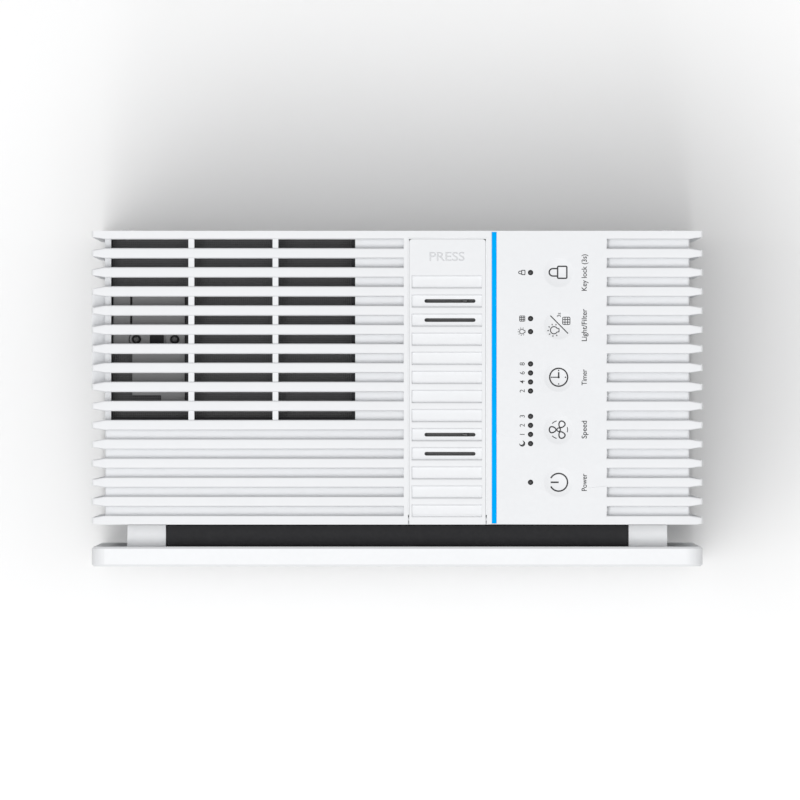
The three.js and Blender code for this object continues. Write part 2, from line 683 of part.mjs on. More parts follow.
function makeMotor(parent) {
  const motor = turned(ringOf([
    [0, 88.5], [0, 82], [4.5, 82], [4.5, 61.3], [42, 61.3], [47, 65], [47, 84], [42, 88.5],
  ]), 24, true);
  put(parent, 'motor', motor.translate([FAN_X, 0, FAN_Z]), STEEL);

  const arm = 62;
  const corner = 14;
  const bore = 14;
  const opening = { radius: 12, spread: 38 };
  const plateY0 = SCROLL_BACK_Y + GAP;
  const plateY1 = plateY0 + 2.7;
  let bracket = slab(roundedRectangle(-arm, arm, -arm, arm, corner, corner, 2), plateY0, plateY1);
  bracket = bracket.subtract(cylinder('y', bore, plateY0 - 1.3, plateY1 + 1, 0, 0, 16));
  for (const [x, z] of [[-1, 0], [1, 0], [0, -1], [0, 1]]) {
    bracket = bracket.subtract(cylinder(
      'y', opening.radius, plateY0 - 1.3, plateY1 + 1, x * opening.spread, z * opening.spread, 10));
  }
  put(parent, 'motor_bracket', bracket.translate([FAN_X, 0, FAN_Z]), STEEL);
}

// ---- Outlet -------------------------------------------------------------------------------------

const DUCT_LEFT_X = -INNER_X + 0.4;
const DUCT_BACK_Y = 92.8;

// The duct widens backwards from the scroll to the outlet windows.
function makeDuct(parent) {
  const wall = 2;
  const z0 = SCROLL_TOP_Z + GAP;
  const z1 = GUARD_Z - GAP;
  const profile = (inset, extra) => [
    [SCROLL_FRONT_Y + inset, z0 - extra], [SCROLL_BACK_Y - inset, z0 - extra],
    [SCROLL_BACK_Y - inset, z0 + 6], [DUCT_BACK_Y - inset, z1 - 14],
    [DUCT_BACK_Y - inset, z1 + extra], [SCROLL_FRONT_Y + inset, z1 + extra],
  ];
  const outer = sidePrism(profile(0, 0), DUCT_LEFT_X, DUCT_RIGHT_X);
  const inner = sidePrism(profile(wall, 1), DUCT_LEFT_X + wall, DUCT_RIGHT_X - wall);
  put(parent, 'outlet_duct', outer.subtract(inner), CHARCOAL);
}

function makeOutletGuard(parent) {
  const border = 3;
  const screenRight = -26;
  const screenFront = -11;
  const lipTop = CEILING_Z - 0.6;
  const body = block(DUCT_LEFT_X, DUCT_RIGHT_X, SCROLL_FRONT_Y, DUCT_BACK_Y, GUARD_Z, lipTop);
  const opening = block(
    DUCT_LEFT_X + border, screenRight, screenFront, DUCT_BACK_Y - border, GUARD_Z - 1, lipTop + 1);
  const lowered = block(
    DUCT_LEFT_X - 1, screenRight, screenFront, DUCT_BACK_Y + 1, GUARD_Z + 4, lipTop + 1);
  let guard = body.subtract(opening).subtract(lowered);
  for (const [, right] of WINDOW_COLUMNS.slice(0, -1)) {
    guard = guard.add(block(
      right + 0.5, right + 2.9, screenFront - 1, DUCT_BACK_Y - 1, GUARD_Z, GUARD_Z + 1.4));
  }
  put(parent, 'outlet_guard', guard, CHARCOAL);

  const mesh = block(
    DUCT_LEFT_X + border + GAP, screenRight - GAP, screenFront + GAP, DUCT_BACK_Y - border - GAP,
    GUARD_Z + 1.8, GUARD_Z + 3.2);
  put(parent, 'outlet_mesh', mesh, CHARCOAL);
}

// ---- Ion generator and air sensor ---------------------------------------------------------------

const ION = { x0: -152.8, x1: -122.6, y0: -5, y1: 61.5, z0: GUARD_Z + 4.4, z1: GUARD_Z + 14 };
const ION_SCREWS = [[-150.4, 34.2], [-128.3, 34.2]];
const ION_SCREW = { head: 2.5, rise: 1.6, shank: 1.2, length: 6, sunk: 2.1 };
const SENSOR = { x0: -163.7, x1: -154.0, y0: 28.5, y1: 61.5 };

function makeIonGenerator(parent) {
  let body = block(ION.x0 - 2, ION.x1, ION.y0, ION.y1, ION.z0, ION.z1);
  const stepRight = -136.2;
  const stepBack = 2;
  const step = block(ION.x0 - 3, stepRight, ION.y0 - 1, stepBack, ION.z0 - 1, ION.z1 + 1);
  const shelf = block(ION.x0 - 3, ION.x0, ION.y0 - 1, ION.y1 + 1, ION.z0 - 1, ION.z1 + 1);
  const grille = block(-142.7, -133.2, 26, 42.4, ION.z1 - 3.5, ION.z1 + 1);
  body = body.subtract(step).subtract(shelf).subtract(grille);
  for (const [x, y] of ION_SCREWS) {
    body = body.add(cylinder('z', 4, ION.z0, ION.z1, x, y, 16));
    body = body.subtract(cylinder('z', 2.9, ION.z1 - 2.4, ION.z1 + 1, x, y, 12));
    body = body.subtract(cylinder('z', 1.5, ION.z0 - 1, ION.z1, x, y, 8));
  }
  put(parent, 'ion_generator', body, GREY);

  ION_SCREWS.forEach(([x, y], index) => {
    const screw = screwBody(ION_SCREW).translate([x, y, ION.z1 - ION_SCREW.sunk]);
    put(parent, `ion_screw_${index + 1}`, screw, STEEL);
  });

  let sensor = block(SENSOR.x0, SENSOR.x1, SENSOR.y0, SENSOR.y1, ION.z0, ION.z1);
  sensor = sensor.subtract(cylinder('z', 4.5, ION.z0 - 1, ION.z1 + 1, ...ION_SCREWS[0], 20));
  put(parent, 'air_sensor', sensor, GREY);
}

function makeSensorDoor(parent) {
  let door = block(-WIDTH / 2 + 0.2, -172.4, DOOR_Y0, DOOR_Y1, DOOR_Z0, DOOR_Z1);
  const slits = 6;
  const slitPitch = 4.4;
  const slitHeight = 2;
  const margin = 8;
  for (let index = 0; index < slits; index += 1) {
    const z = DOOR_Z0 + margin + 1 + slitPitch * index;
    door = door.subtract(block(
      -WIDTH / 2 - 1, -170, DOOR_Y0 + margin, DOOR_Y1 - margin, z, z + slitHeight));
  }
  door = door.add(cylinder(
    'y', 1.1, DOOR_Y0 - 2, DOOR_Y1 + 2, DOOR_HINGE_X, DOOR_HINGE_Z, 10));
  put(parent, 'sensor_door', door, WHITE);
}

// ---- Console ------------------------------------------------------------------------------------

const BOARD_THICKNESS = 1.6;

function makeLightStrip(parent) {
  const strip = block(
    STRIP_LEFT, STRIP_RIGHT, BODY_FRONT_Y + 0.75, BACK_Y - 0.75, 455.5, HEIGHT - 0.1);
  put(parent, 'light_strip', strip, BLUE_GLOW);
}

function makeControls(parent) {
  const barTop = HEIGHT - PANEL_WALL - GAP;
  const bar = block(LED_X - 2.6, LED_X + 2.6, -52, 76.4, barTop - 2, barTop);
  const pips = LED_YS.map((y) => (
    cylinder('z', LED_RADIUS, barTop - 1, HEIGHT - 0.15, LED_X, y, 12)));
  put(parent, 'indicator_guide', joined([bar, ...pips]), SMOKE);

  const boardTop = CEILING_Z - 0.6;
  const boardUnder = boardTop - BOARD_THICKNESS;
  const board = block(62, 115, -64, 88, boardUnder, boardTop);
  const chip = { x: 70, y: -58, width: 20, depth: 12, height: 3 };
  const driver = { x: 100, y: 60, width: 14, depth: 14, height: 1.6 };
  const connector = { x: 66, y: 80, width: 30, depth: 6, height: 5 };
  const parts = [chip, driver, connector].map(({ x, y, width, depth, height }) => (
    block(x, x + width, y, y + depth, boardUnder - height, boardTop - 1)));
  put(parent, 'control_board', joined([board, ...parts]), BOARD);

  KEY_YS.forEach((y, index) => {
    const bottom = boardTop + GAP;
    const electrode = turned(ringOf([
      [4, bottom], [5.5, bottom], [5.5, barTop - 0.9], [4, barTop - 0.9],
    ]), 10).translate([KEY_X, y, 0]);
    put(parent, `touch_electrode_${index + 1}`, electrode, COPPER);
  });
}

function makeAromaLid(parent) {
  const under = HEIGHT - LID_THICKNESS;
  const outline = roundedRectangle(LID_LEFT, LID_RIGHT, BODY_FRONT_Y, LID_BACK_Y, 0.5, 1.6, 3);
  let lid = plate(outline, under, HEIGHT);
  lid = lid.add(block(LID_LEFT + 0.5, LID_RIGHT - 0.5, -72, -66.8, 454.6, under + 1));
  lid = lid.add(cylinder('x', 1.3, LID_LEFT - 2.2, LID_RIGHT + 2.2, LID_HINGE_Y, LID_HINGE_Z, 12));
  lid = lid.add(block(27, 31, 81, 85, PLUNGER.z1 + GAP, under + 1));
  const grooveDepth = 1.8;
  const grooveWidth = 6.9;
  const grooveInset = { left: 1.5, right: 2.1 };
  const slot = { x0: 15.7, x1: 45.1, width: 2.1 };
  for (let row = 2; row <= 14; row += 1) {
    const y = gapY(row);
    lid = lid.subtract(block(
      LID_LEFT + grooveInset.left, LID_RIGHT - grooveInset.right, y - grooveWidth / 2,
      y + grooveWidth / 2, HEIGHT - grooveDepth, HEIGHT + 1));
  }
  for (const row of SLOT_ROWS) {
    lid = lid.subtract(roundSlot(slot.x0, slot.x1, gapY(row), slot.width, under - 1, HEIGHT + 1));
  }
  put(parent, 'aroma_lid', lid, WHITE);
}

const PAD_BAYS = [[-43.5, -7], [33.5, 67.5]];

function makeAromaTray(parent) {
  const flangeZ = LEDGE_Z + GAP;
  const top = flangeZ + 1.6;
  const bottom = 438;
  const wall = 1.6;
  let tray = block(TRAY.x0, TRAY.x1, TRAY.y0, TRAY.y1, bottom, top);
  tray = tray.add(block(TRAY.x0 - 2.4, TRAY.x1 + 2.4, TRAY.y0 - 2, TRAY.y1 + 2, flangeZ, top));
  for (const [y0, y1] of PAD_BAYS) {
    tray = tray.subtract(block(
      TRAY.x0 + wall, TRAY.x1 - wall, y0, y1, bottom + wall, top + 1));
  }
  tray = tray.subtract(block(TRAY.x0 + wall, TRAY.x1 - wall, -4, 30.5, bottom - 1, top - 2));
  put(parent, 'aroma_tray', tray, GREY);

  PAD_BAYS.forEach(([y0, y1], index) => {
    const pad = block(
      TRAY.x0 + wall + 0.4, TRAY.x1 - wall - 0.4, y0 + 0.4, y1 - 0.4, bottom + wall + GAP, top - 4);
    put(parent, `aroma_pad_${index + 1}`, pad, FELT);
  });
}

function makeLatch(parent) {
  const top = CEILING_Z - GAP;
  const body = block(LATCH.x0, LATCH.x1, LATCH.y0, LATCH.y1, 434, top);
  const bore = block(
    PLUNGER.x0 - 0.4, PLUNGER.x1 + 0.4, PLUNGER.y0 - 0.4, PLUNGER.y1 + 0.4, 437, top + 1);
  put(parent, 'lid_latch', body.subtract(bore), CHARCOAL);
  const plunger = block(PLUNGER.x0, PLUNGER.x1, PLUNGER.y0, PLUNGER.y1, PLUNGER.z0, PLUNGER.z1);
  put(parent, 'latch_plunger', plunger, GREY);
}

// ---- Power supply -------------------------------------------------------------------------------

const BOARD_Z = 28;
const BOARD_STANDS = [[58, 20], [146, 20], [58, 64], [146, 64]];

function makePowerBoard(parent) {
  const sheet = block(52, 152, 14, 70, BOARD_Z, BOARD_Z + BOARD_THICKNESS);
  const root = BOARD_Z + 1;
  const transformer = block(62, 92, 24, 50, root, BOARD_Z + 24);
  const heatSink = block(122, 140, 24, 58, root, BOARD_Z + 8);
  const mainCapacitor = cylinder('z', 7, root, BOARD_Z + 22, 106, 32, 20);
  const smallCapacitor = cylinder('z', 5, root, BOARD_Z + 16, 106, 50, 20);
  const parts = [transformer, heatSink, mainCapacitor, smallCapacitor];
  put(parent, 'power_board', joined([sheet, ...parts]), BOARD);
}

// ---- Assembly -----------------------------------------------------------------------------------

makeHousing(model);
makeBase(model);
makeRearPanel(model);
makeMainsInlet(model);
makeBulkhead(model);
makePrefilter(model);
makeFilters(model);
makeFrontCover(model);
makeIntakeGrille(model);
makeScroll(model);
makeFan(model);
makeMotor(model);
makeDuct(model);
makeOutletGuard(model);
makeIonGenerator(model);
makeSensorDoor(model);
makeLightStrip(model);
makeControls(model);
makeAromaLid(model);
makeAromaTray(model);
makeLatch(model);
makePowerBoard(model);

export default model;
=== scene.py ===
"""A room air purifier, seen from straight above: looks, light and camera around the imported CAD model.

The frame is the CAD's: the front faces -Y, +Z is up, and the origin is on the floor under the middle.
Shapes are worked out in millimetres, and MM turns them into metres.
"""

import json
import math

import bmesh
import bpy
from mathutils import Matrix, Vector


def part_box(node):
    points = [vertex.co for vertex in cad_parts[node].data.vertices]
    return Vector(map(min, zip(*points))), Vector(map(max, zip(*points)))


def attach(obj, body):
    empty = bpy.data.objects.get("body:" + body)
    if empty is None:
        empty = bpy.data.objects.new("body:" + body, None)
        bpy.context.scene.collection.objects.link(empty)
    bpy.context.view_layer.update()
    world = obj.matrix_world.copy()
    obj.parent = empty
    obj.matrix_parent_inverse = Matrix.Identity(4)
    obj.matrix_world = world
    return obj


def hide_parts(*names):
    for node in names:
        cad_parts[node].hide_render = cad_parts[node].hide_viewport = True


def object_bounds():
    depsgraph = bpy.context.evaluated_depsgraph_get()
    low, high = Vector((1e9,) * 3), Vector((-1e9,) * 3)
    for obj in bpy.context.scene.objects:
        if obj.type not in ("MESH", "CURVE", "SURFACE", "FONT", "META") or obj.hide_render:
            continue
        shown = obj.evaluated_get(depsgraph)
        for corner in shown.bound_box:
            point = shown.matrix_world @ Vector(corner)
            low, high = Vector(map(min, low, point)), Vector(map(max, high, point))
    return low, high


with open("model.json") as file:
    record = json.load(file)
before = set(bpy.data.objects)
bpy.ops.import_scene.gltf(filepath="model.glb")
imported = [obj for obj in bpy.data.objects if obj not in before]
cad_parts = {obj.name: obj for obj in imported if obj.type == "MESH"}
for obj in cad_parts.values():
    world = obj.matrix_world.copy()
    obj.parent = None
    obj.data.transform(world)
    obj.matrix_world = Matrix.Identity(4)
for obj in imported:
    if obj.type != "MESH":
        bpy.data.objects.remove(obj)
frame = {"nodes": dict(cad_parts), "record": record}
NODES = frame["nodes"]
CAD_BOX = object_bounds()
MM = 0.001
WELD_DISTANCE = 2e-6  # metres; the frame's meshes come with their corners split
SHARP_ANGLE = math.radians(32.0)  # edges that bend by more than this are rounded
FLAT_ANGLE = math.radians(0.6)  # faces that bend by less than this are one face
scene = bpy.context.scene


# ---- Materials ------------------------------------------------------------------------------------


class Surface:
    """A procedural material: colour variation, roughness variation and bump from object-space noise.

    Noise scales are in waves per metre, and bump distances in metres.
    """

    def __init__(self, name, color, roughness, metallic=0.0):
        self.material = bpy.data.materials.new(name)
        self.material.use_nodes = True
        self.tree = self.material.node_tree
        self.shader = self.tree.nodes["Principled BSDF"]
        self.shader.inputs["Base Color"].default_value = (*color, 1.0)
        self.shader.inputs["Roughness"].default_value = roughness
        self.shader.inputs["Metallic"].default_value = metallic
        self.color = color
        self.roughness = roughness
        self.place = self.tree.nodes.new("ShaderNodeTexCoord").outputs["Object"]
        self.height = None

    def node(self, kind, **inputs):
        made = self.tree.nodes.new(kind)
        for name, value in inputs.items():
            made.inputs[name.replace("_", " ")].default_value = value
        return made

    def link(self, source, target):
        self.tree.links.new(source, target)

    def stretched(self, scale):
        mapping = self.node("ShaderNodeMapping", Scale=scale)
        self.link(self.place, mapping.inputs["Vector"])
        return mapping.outputs["Vector"]

    def noise(self, scale, detail=3.0, stretch=None):
        made = self.node("ShaderNodeTexNoise", Scale=scale, Detail=detail, Roughness=0.55)
        self.link(self.stretched(stretch) if stretch else self.place, made.inputs["Vector"])
        return made.outputs["Fac"]

    def spread(self, value, low, high, start=0.3, end=0.7):
        made = self.node("ShaderNodeMapRange", To_Min=low, To_Max=high, From_Min=start, From_Max=end)
        self.link(value, made.inputs["Value"])
        return made.outputs["Result"]

    def tint(self, value, other):
        """Mixes the base colour towards another where the value is high."""
        mix = self.tree.nodes.new("ShaderNodeMix")
        mix.data_type = "RGBA"
        mix.inputs[6].default_value = (*self.color, 1.0)
        mix.inputs[7].default_value = (*other, 1.0)
        self.link(value, mix.inputs[0])
        self.link(mix.outputs[2], self.shader.inputs["Base Color"])

    def vary_roughness(self, value, amount):
        self.link(
            self.spread(value, self.roughness - amount, self.roughness + amount),
            self.shader.inputs["Roughness"],
        )

    def bump(self, value, distance, strength=1.0):
        made = self.node("ShaderNodeBump", Strength=strength, Distance=distance)
        self.link(value, made.inputs["Height"])
        if self.height is not None:
            self.link(self.height, made.inputs["Normal"])
        self.height = made.outputs["Normal"]
        self.link(self.height, self.shader.inputs["Normal"])

    def set(self, **values):
        for name, value in values.items():
            self.shader.inputs[name.replace("_", " ")].default_value = value


def darker(color, share):
    return tuple(channel * share for channel in color)


def moulded_plastic(name, color, roughness, grain=0.012, grain_scale=2600.0, coat=0.0, gloss=0.5):
    """Injection-moulded plastic: fine spark-eroded grain, faint sink waviness and a little tonal drift."""
    look = Surface(name, color, roughness)
    fine = look.noise(grain_scale, 2.0)
    broad = look.noise(34.0, 4.0)
    look.tint(look.spread(broad, 0.0, 1.0), darker(color, 0.985))
    look.vary_roughness(look.noise(420.0, 4.0), 0.05)
    look.bump(broad, 0.00002, 0.3)
    look.bump(fine, grain * MM, 0.6)
    look.set(Coat_Weight=coat, Coat_Roughness=0.22, Specular_IOR_Level=gloss)
    return look.material


def metal(name, color, roughness, along=(1.0, 1.0, 14.0)):
    look = Surface(name, color, roughness, metallic=1.0)
    brushed = look.noise(900.0, 3.0, stretch=along)
    look.tint(look.spread(look.noise(160.0, 4.0), 0.0, 1.0), darker(color, 0.82))
    look.vary_roughness(brushed, 0.07)
    look.bump(brushed, 0.00002, 0.7)
    return look.material


def net(name, color, pitch, directions):
    """A woven nylon screen: threads cross at the pitch, with darker openings between them."""
    look = Surface(name, color, 0.7)
    threads = []
    for direction in directions:
        wave = look.tree.nodes.new("ShaderNodeTexWave")
        wave.wave_type = "BANDS"
        wave.bands_direction = direction
        wave.inputs["Scale"].default_value = math.tau / 20.0 / pitch  # a band every tau / 20 at scale 1
        look.link(look.place, wave.inputs["Vector"])
        threads.append(wave.outputs["Fac"])
    both = look.tree.nodes.new("ShaderNodeMath")
    both.operation = "MAXIMUM"
    look.link(threads[0], both.inputs[0])
    look.link(threads[1], both.inputs[1])
    look.tint(look.spread(both.outputs[0], 1.0, 0.0, 0.35, 0.75), darker(color, 0.45))
    look.bump(both.outputs[0], 0.00012, 0.7)
    return look.material


def fibre(name, color, roughness=0.95, fibre_scale=1500.0):
    look = Surface(name, color, roughness)
    strands = look.noise(fibre_scale, 6.0, stretch=(1.0, 1.0, 0.35))
    look.tint(look.spread(strands, 0.0, 1.0), darker(color, 0.86))
    look.bump(strands, 0.00015, 0.8)
    look.set(Sheen_Weight=0.2, Sheen_Roughness=0.6)
    return look.material


def granular(name, color):
    """Carbon granules packed behind a honeycomb net."""
    look = Surface(name, color, 0.9)
    grains = look.node("ShaderNodeTexVoronoi", Scale=520.0)
    look.link(look.place, grains.inputs["Vector"])
    look.tint(look.spread(grains.outputs["Distance"], 1.0, 0.0, 0.0, 0.6), tuple(3 * c for c in color))
    look.bump(grains.outputs["Distance"], 0.0006, 0.9)
    return look.material


def printed_board(name):
    """Green solder mask over faint copper tracks."""
    look = Surface(name, (0.02, 0.13, 0.06), 0.35)
    tracks = look.tree.nodes.new("ShaderNodeTexBrick")
    tracks.inputs["Scale"].default_value = 90.0
    tracks.inputs["Mortar Size"].default_value = 0.03
    look.link(look.place, tracks.inputs["Vector"])
    look.tint(look.spread(tracks.outputs["Fac"], 0.0, 1.0, 0.0, 1.0), (0.05, 0.24, 0.1))
    look.bump(tracks.outputs["Fac"], 0.00005, 0.6)
    look.set(Coat_Weight=0.3)
    return look.material


def glowing_bar(name):
    """A milky diffuser lit blue from behind, a touch brighter over each lamp."""
    look = Surface(name, (0.0, 0.05, 0.14), 0.4)
    lamps = look.noise(22.0, 2.0, stretch=(0.01, 1.0, 0.01))
    look.bump(look.noise(2400.0, 2.0), 0.00001, 0.5)
    look.set(Emission_Color=(0.0, 0.37, 0.86, 1.0), Specular_IOR_Level=0.0)
    look.link(look.spread(lamps, 0.93, 1.05), look.shader.inputs["Emission Strength"])
    return look.material


WHITE = (0.718, 0.727, 0.743)
COVER_WHITE = (0.755, 0.765, 0.78)
THREAD_PITCH = 0.0012  # metres between the threads of a net
MATERIALS = {
    "white_shell": moulded_plastic("white_shell", WHITE, 0.48),
    "white_base": moulded_plastic("white_base", darker(WHITE, 0.96), 0.5),
    "white_cover": moulded_plastic("white_cover", COVER_WHITE, 0.42, grain=0.006),
    "charcoal_plastic": moulded_plastic(
        "charcoal_plastic", (0.022, 0.022, 0.024), 0.7, grain=0.03, grain_scale=1500.0, gloss=0.3
    ),
    "grey_plastic": moulded_plastic(
        "grey_plastic", (0.27, 0.27, 0.274), 0.6, grain=0.025, grain_scale=1600.0
    ),
    "screen_mesh": net("screen_mesh", (0.075, 0.075, 0.078), THREAD_PITCH, "XZ"),
    "light_bar": glowing_bar("light_bar"),
    "smoked_lens": moulded_plastic("smoked_lens", (0.02, 0.02, 0.021), 0.5, grain=0.002, gloss=0.25),
    "filter_paper": fibre("filter_paper", (0.78, 0.77, 0.72)),
    "carbon": granular("carbon", (0.018, 0.018, 0.019)),
    "felt": fibre("felt", (0.17, 0.17, 0.172), fibre_scale=900.0),
    "rubber_foot": moulded_plastic(
        "rubber_foot", (0.022, 0.022, 0.023), 0.86, grain=0.04, grain_scale=1200.0
    ),
    "steel": metal("steel", (0.58, 0.585, 0.6), 0.34),
    "motor_case": metal("motor_case", (0.3, 0.305, 0.315), 0.45, along=(1.0, 9.0, 1.0)),
    "circuit_board": printed_board("circuit_board"),
    "copper": metal("copper", (0.68, 0.4, 0.2), 0.3),
}
OUTLET_NET = net("outlet_net", (0.15, 0.15, 0.154), THREAD_PITCH, "XY")
INK = moulded_plastic("grey_ink", (0.026, 0.026, 0.028), 0.6, grain=0.002)
FAINT_INK = moulded_plastic("light_grey_ink", (0.07, 0.07, 0.073), 0.6, grain=0.002)
BLACKENED = moulded_plastic(
    "blackened_screw", (0.016, 0.016, 0.017), 0.42, grain=0.004, coat=0.2
)
# The lid's white made darker for the raised letters: painted shade standing for the shade at their edges.
LETTER_SHADE_PAINT = moulded_plastic("letter_painted_shade_white", darker(WHITE, 0.86), 0.5, grain=0.004)
# A lighter white than the shell's, for strips in the lid's gap: painted light over the gap's shade.
GAP_LIGHT_PAINT = moulded_plastic("gap_painted_light_white", (0.76, 0.77, 0.785), 0.5)

SLOT_OF = {part["node"]: part["material_slot"] for part in frame["record"]["subparts"]}


# ---- Mesh helpers ---------------------------------------------------------------------------------


def make_piece(name, mesh, body, slot, material=None, replaced=()):
    piece = bpy.data.objects.new(name, mesh)
    scene.collection.objects.link(piece)
    mesh.materials.clear()
    mesh.materials.append(material or MATERIALS[slot])
    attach(piece, body)
    if replaced:
        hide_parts(*replaced)
    return piece


def mesh_of(bm, name):
    mesh = bpy.data.meshes.new(name)
    bm.to_mesh(mesh)
    bm.free()
    return mesh


def smooth_by_angle(mesh, degrees=38.0):
    mesh.shade_smooth()
    mesh.set_sharp_from_angle(angle=math.radians(degrees))


def weigh_edges(mesh, radius_at, largest):
    """Gives each sharp edge its own rounding, as a share of the largest.

    radius_at takes the edge's middle and the vector from end to end, in millimetres. An edge it gives 0
    stays sharp. Faces with many corners are cut into triangles, which the rounding doesn't fold.
    """
    bm = bmesh.new()
    bm.from_mesh(mesh)
    weights = bm.edges.layers.float.new("bevel_weight_edge")
    for edge in bm.edges:
        if len(edge.link_faces) == 2 and edge.calc_face_angle(0.0) > SHARP_ANGLE:
            start, end = (vert.co / MM for vert in edge.verts)
            radius = radius_at((start + end) / 2, end - start)
            edge[weights] = min(1.0, radius / largest)
            edge.smooth = radius > 0.0
    bmesh.ops.triangulate(bm, faces=[face for face in bm.faces if len(face.verts) > 4])
    bm.to_mesh(mesh)
    bm.free()


def soften(piece, width, segments=2, weighed=False):
    """Rounds a piece's sharp edges by a width in millimetres, and keeps its flat faces flat.

    If weighed, each edge takes the share of the width that weigh_edges gave it.
    """
    bevel = piece.modifiers.new("edges", "BEVEL")
    bevel.width = width * MM
    bevel.segments = segments
    bevel.limit_method = "WEIGHT" if weighed else "ANGLE"
    bevel.angle_limit = SHARP_ANGLE
    bevel.use_clamp_overlap = not weighed
    bevel.loop_slide = not weighed
    bevel.miter_outer = "MITER_SHARP" if weighed else "MITER_ARC"
    normals = piece.modifiers.new("normals", "WEIGHTED_NORMAL")
    normals.keep_sharp = True


def cleaned(mesh_source):
    """The mesh with its split corners welded and its flat triangles joined into whole faces."""
    bm = bmesh.new()
    bm.from_mesh(mesh_source)
    bmesh.ops.remove_doubles(bm, verts=bm.verts, dist=WELD_DISTANCE)
    bmesh.ops.dissolve_limit(
        bm, angle_limit=FLAT_ANGLE, verts=bm.verts, edges=bm.edges, use_dissolve_boundaries=False
    )
    for layer in list(bm.loops.layers.float_vector):
        bm.loops.layers.float_vector.remove(layer)
    return bm


def revolve(bm, profile, centre, sides=48):
    """Turns (radius, height) points about an upright axis through the centre. The ends may lie on it."""
    rings = []
    for radius, height in profile:
        ring = []
        count = 1 if radius == 0 else sides
        for step in range(count):
            turn = math.tau * step / sides
            spot = (radius * math.cos(turn), radius * math.sin(turn), height)
            ring.append(bm.verts.new([(spot[i] + centre[i]) * MM for i in range(3)]))
        rings.append(ring)
    for lower, upper in zip(rings, rings[1:]):
        for step in range(sides):
            near = step % len(lower), (step + 1) % len(lower)
            far = step % len(upper), (step + 1) % len(upper)
            corners = [lower[near[0]], lower[near[1]], upper[far[1]], upper[far[0]]]
            unique = list(dict.fromkeys(corners))
            if len(unique) > 2:
                bm.faces.new(unique)


def box_mm(node):
    """The lowest and highest corner of a CAD node, in millimetres."""
    low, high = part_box(node)
    return low / MM, high / MM


def add_box(bm, low, high):
    verts = [
        bm.verts.new([(high if bit else low)[i] * MM for i, bit in enumerate(bits)])
        for bits in ((0, 0, 0), (1, 0, 0), (1, 1, 0), (0, 1, 0), (0, 0, 1), (1, 0, 1), (1, 1, 1), (0, 1, 1))
    ]
    for face in ((3, 2, 1, 0), (4, 5, 6, 7), (0, 1, 5, 4), (1, 2, 6, 5), (2, 3, 7, 6), (3, 0, 4, 7)):
        bm.faces.new([verts[i] for i in face])


def cut_by(target, cutter_bm):
    """Cuts a mesh out of the target object, at once."""
    cutter = bpy.data.objects.new("cutter", mesh_of(cutter_bm, "cutter"))
    scene.collection.objects.link(cutter)
    change = target.modifiers.new("cut", "BOOLEAN")
    change.operation = "DIFFERENCE"
    change.solver = "EXACT"
    change.object = cutter
    evaluated = target.evaluated_get(bpy.context.evaluated_depsgraph_get())
    made = bpy.data.meshes.new_from_object(evaluated)
    target.modifiers.clear()
    old, target.data = target.data, made
    bpy.data.objects.remove(cutter)
    bpy.data.meshes.remove(old)


# ---- CAD nodes that keep their shape --------------------------------------------------------------


def dress_nodes():
    """Gives every CAD node its material, and rounds its edges by these widths in millimetres."""
    usual_width = 0.15
    widths = {
        "main_shell": 0.45, "front_cover": 0.5, "base_tray": 0.6, "rear_panel": 0.5, "mains_inlet": 0.4,
        "front_bulkhead": 0.4, "intake_grille": 0.25, "fan_scroll": 0.3, "impeller": 0.2,
        "motor_bracket": 0.3, "outlet_duct": 0.4, "outlet_guard": 0.3, "outlet_mesh": 0.2,
        "ion_generator": 0.35, "air_sensor": 0.35, "light_strip": 0.2, "lid_latch": 0.3,
        "latch_plunger": 0.4, "aroma_tray": 0.35, "sensor_door": 0.3, "power_board": 0.2,
        "control_board": 0.2, "carbon_filter": 0.6, "reed_switch": 0.3, "aroma_pad_1": 0.6,
        "aroma_pad_2": 0.6,
    }
    for name, node in NODES.items():
        node.data.materials.clear()
        node.data.materials.append(MATERIALS[SLOT_OF.get(name, "grey_plastic")])
        weld = node.modifiers.new("weld", "WELD")
        weld.merge_threshold = WELD_DISTANCE
        soften(node, widths.get(name, usual_width))


dress_nodes()


# ---- Pieces rebuilt finer than the CAD ------------------------------------------------------------

TOP = CAD_BOX[1].z / MM
RIB_DEPTH = 7.6
KEYS = [sum(box_mm(f"touch_electrode_{number}"), Vector()) / 2 for number in range(1, 6)]
DISH_RADIUS = 8.75
DISH_DEPTH = 0.96
LAMP_HOLE_RADIUS = 1.52  # LAMP_YS below are the CAD's own places, from the back to the front
LAMP_X = sum(box_mm("indicator_guide"), Vector()).x / 2
LAMP_YS = (72.6, 46.1, 38.6, 20.0, 14.8, 9.6, 4.4, -10.2, -15.4, -20.6, -25.9, -48.2)


def dish_height(x, y):
    """Height of the console's surface at a point: flat, with a shallow bowl at each key."""
    for key in KEYS:
        share = math.hypot(x - key.x, y - key.y) / DISH_RADIUS
        if share < 1.0:
            return TOP - DISH_DEPTH * (1.0 - share * share)
    return TOP


# Parts of the top cover that are rounded in their own way, as spans across it (x) and along it (y).
LID_X = (3.0, 54.0)
STRIP_X = (54.0, 60.0)
KEYS_X = (60.0, 118.0)
KEYS_Y = (-66.0, 90.0)
LID_BACK_Y = (91.0, 94.0)
INSIDE_OUTLINE_Y = (-72.3, 96.4)
GROOVE_END_X = 167.5
RIB_TIP_X = 174.0
KEY_EDGE, OPENING_EDGE, RIB_TIP_EDGE, GROOVE_END_EDGE, RIB_EDGE = 0.12, 0.15, 0.4, 0.5, 0.8


def within(value, span):
    return span[0] < value < span[1]


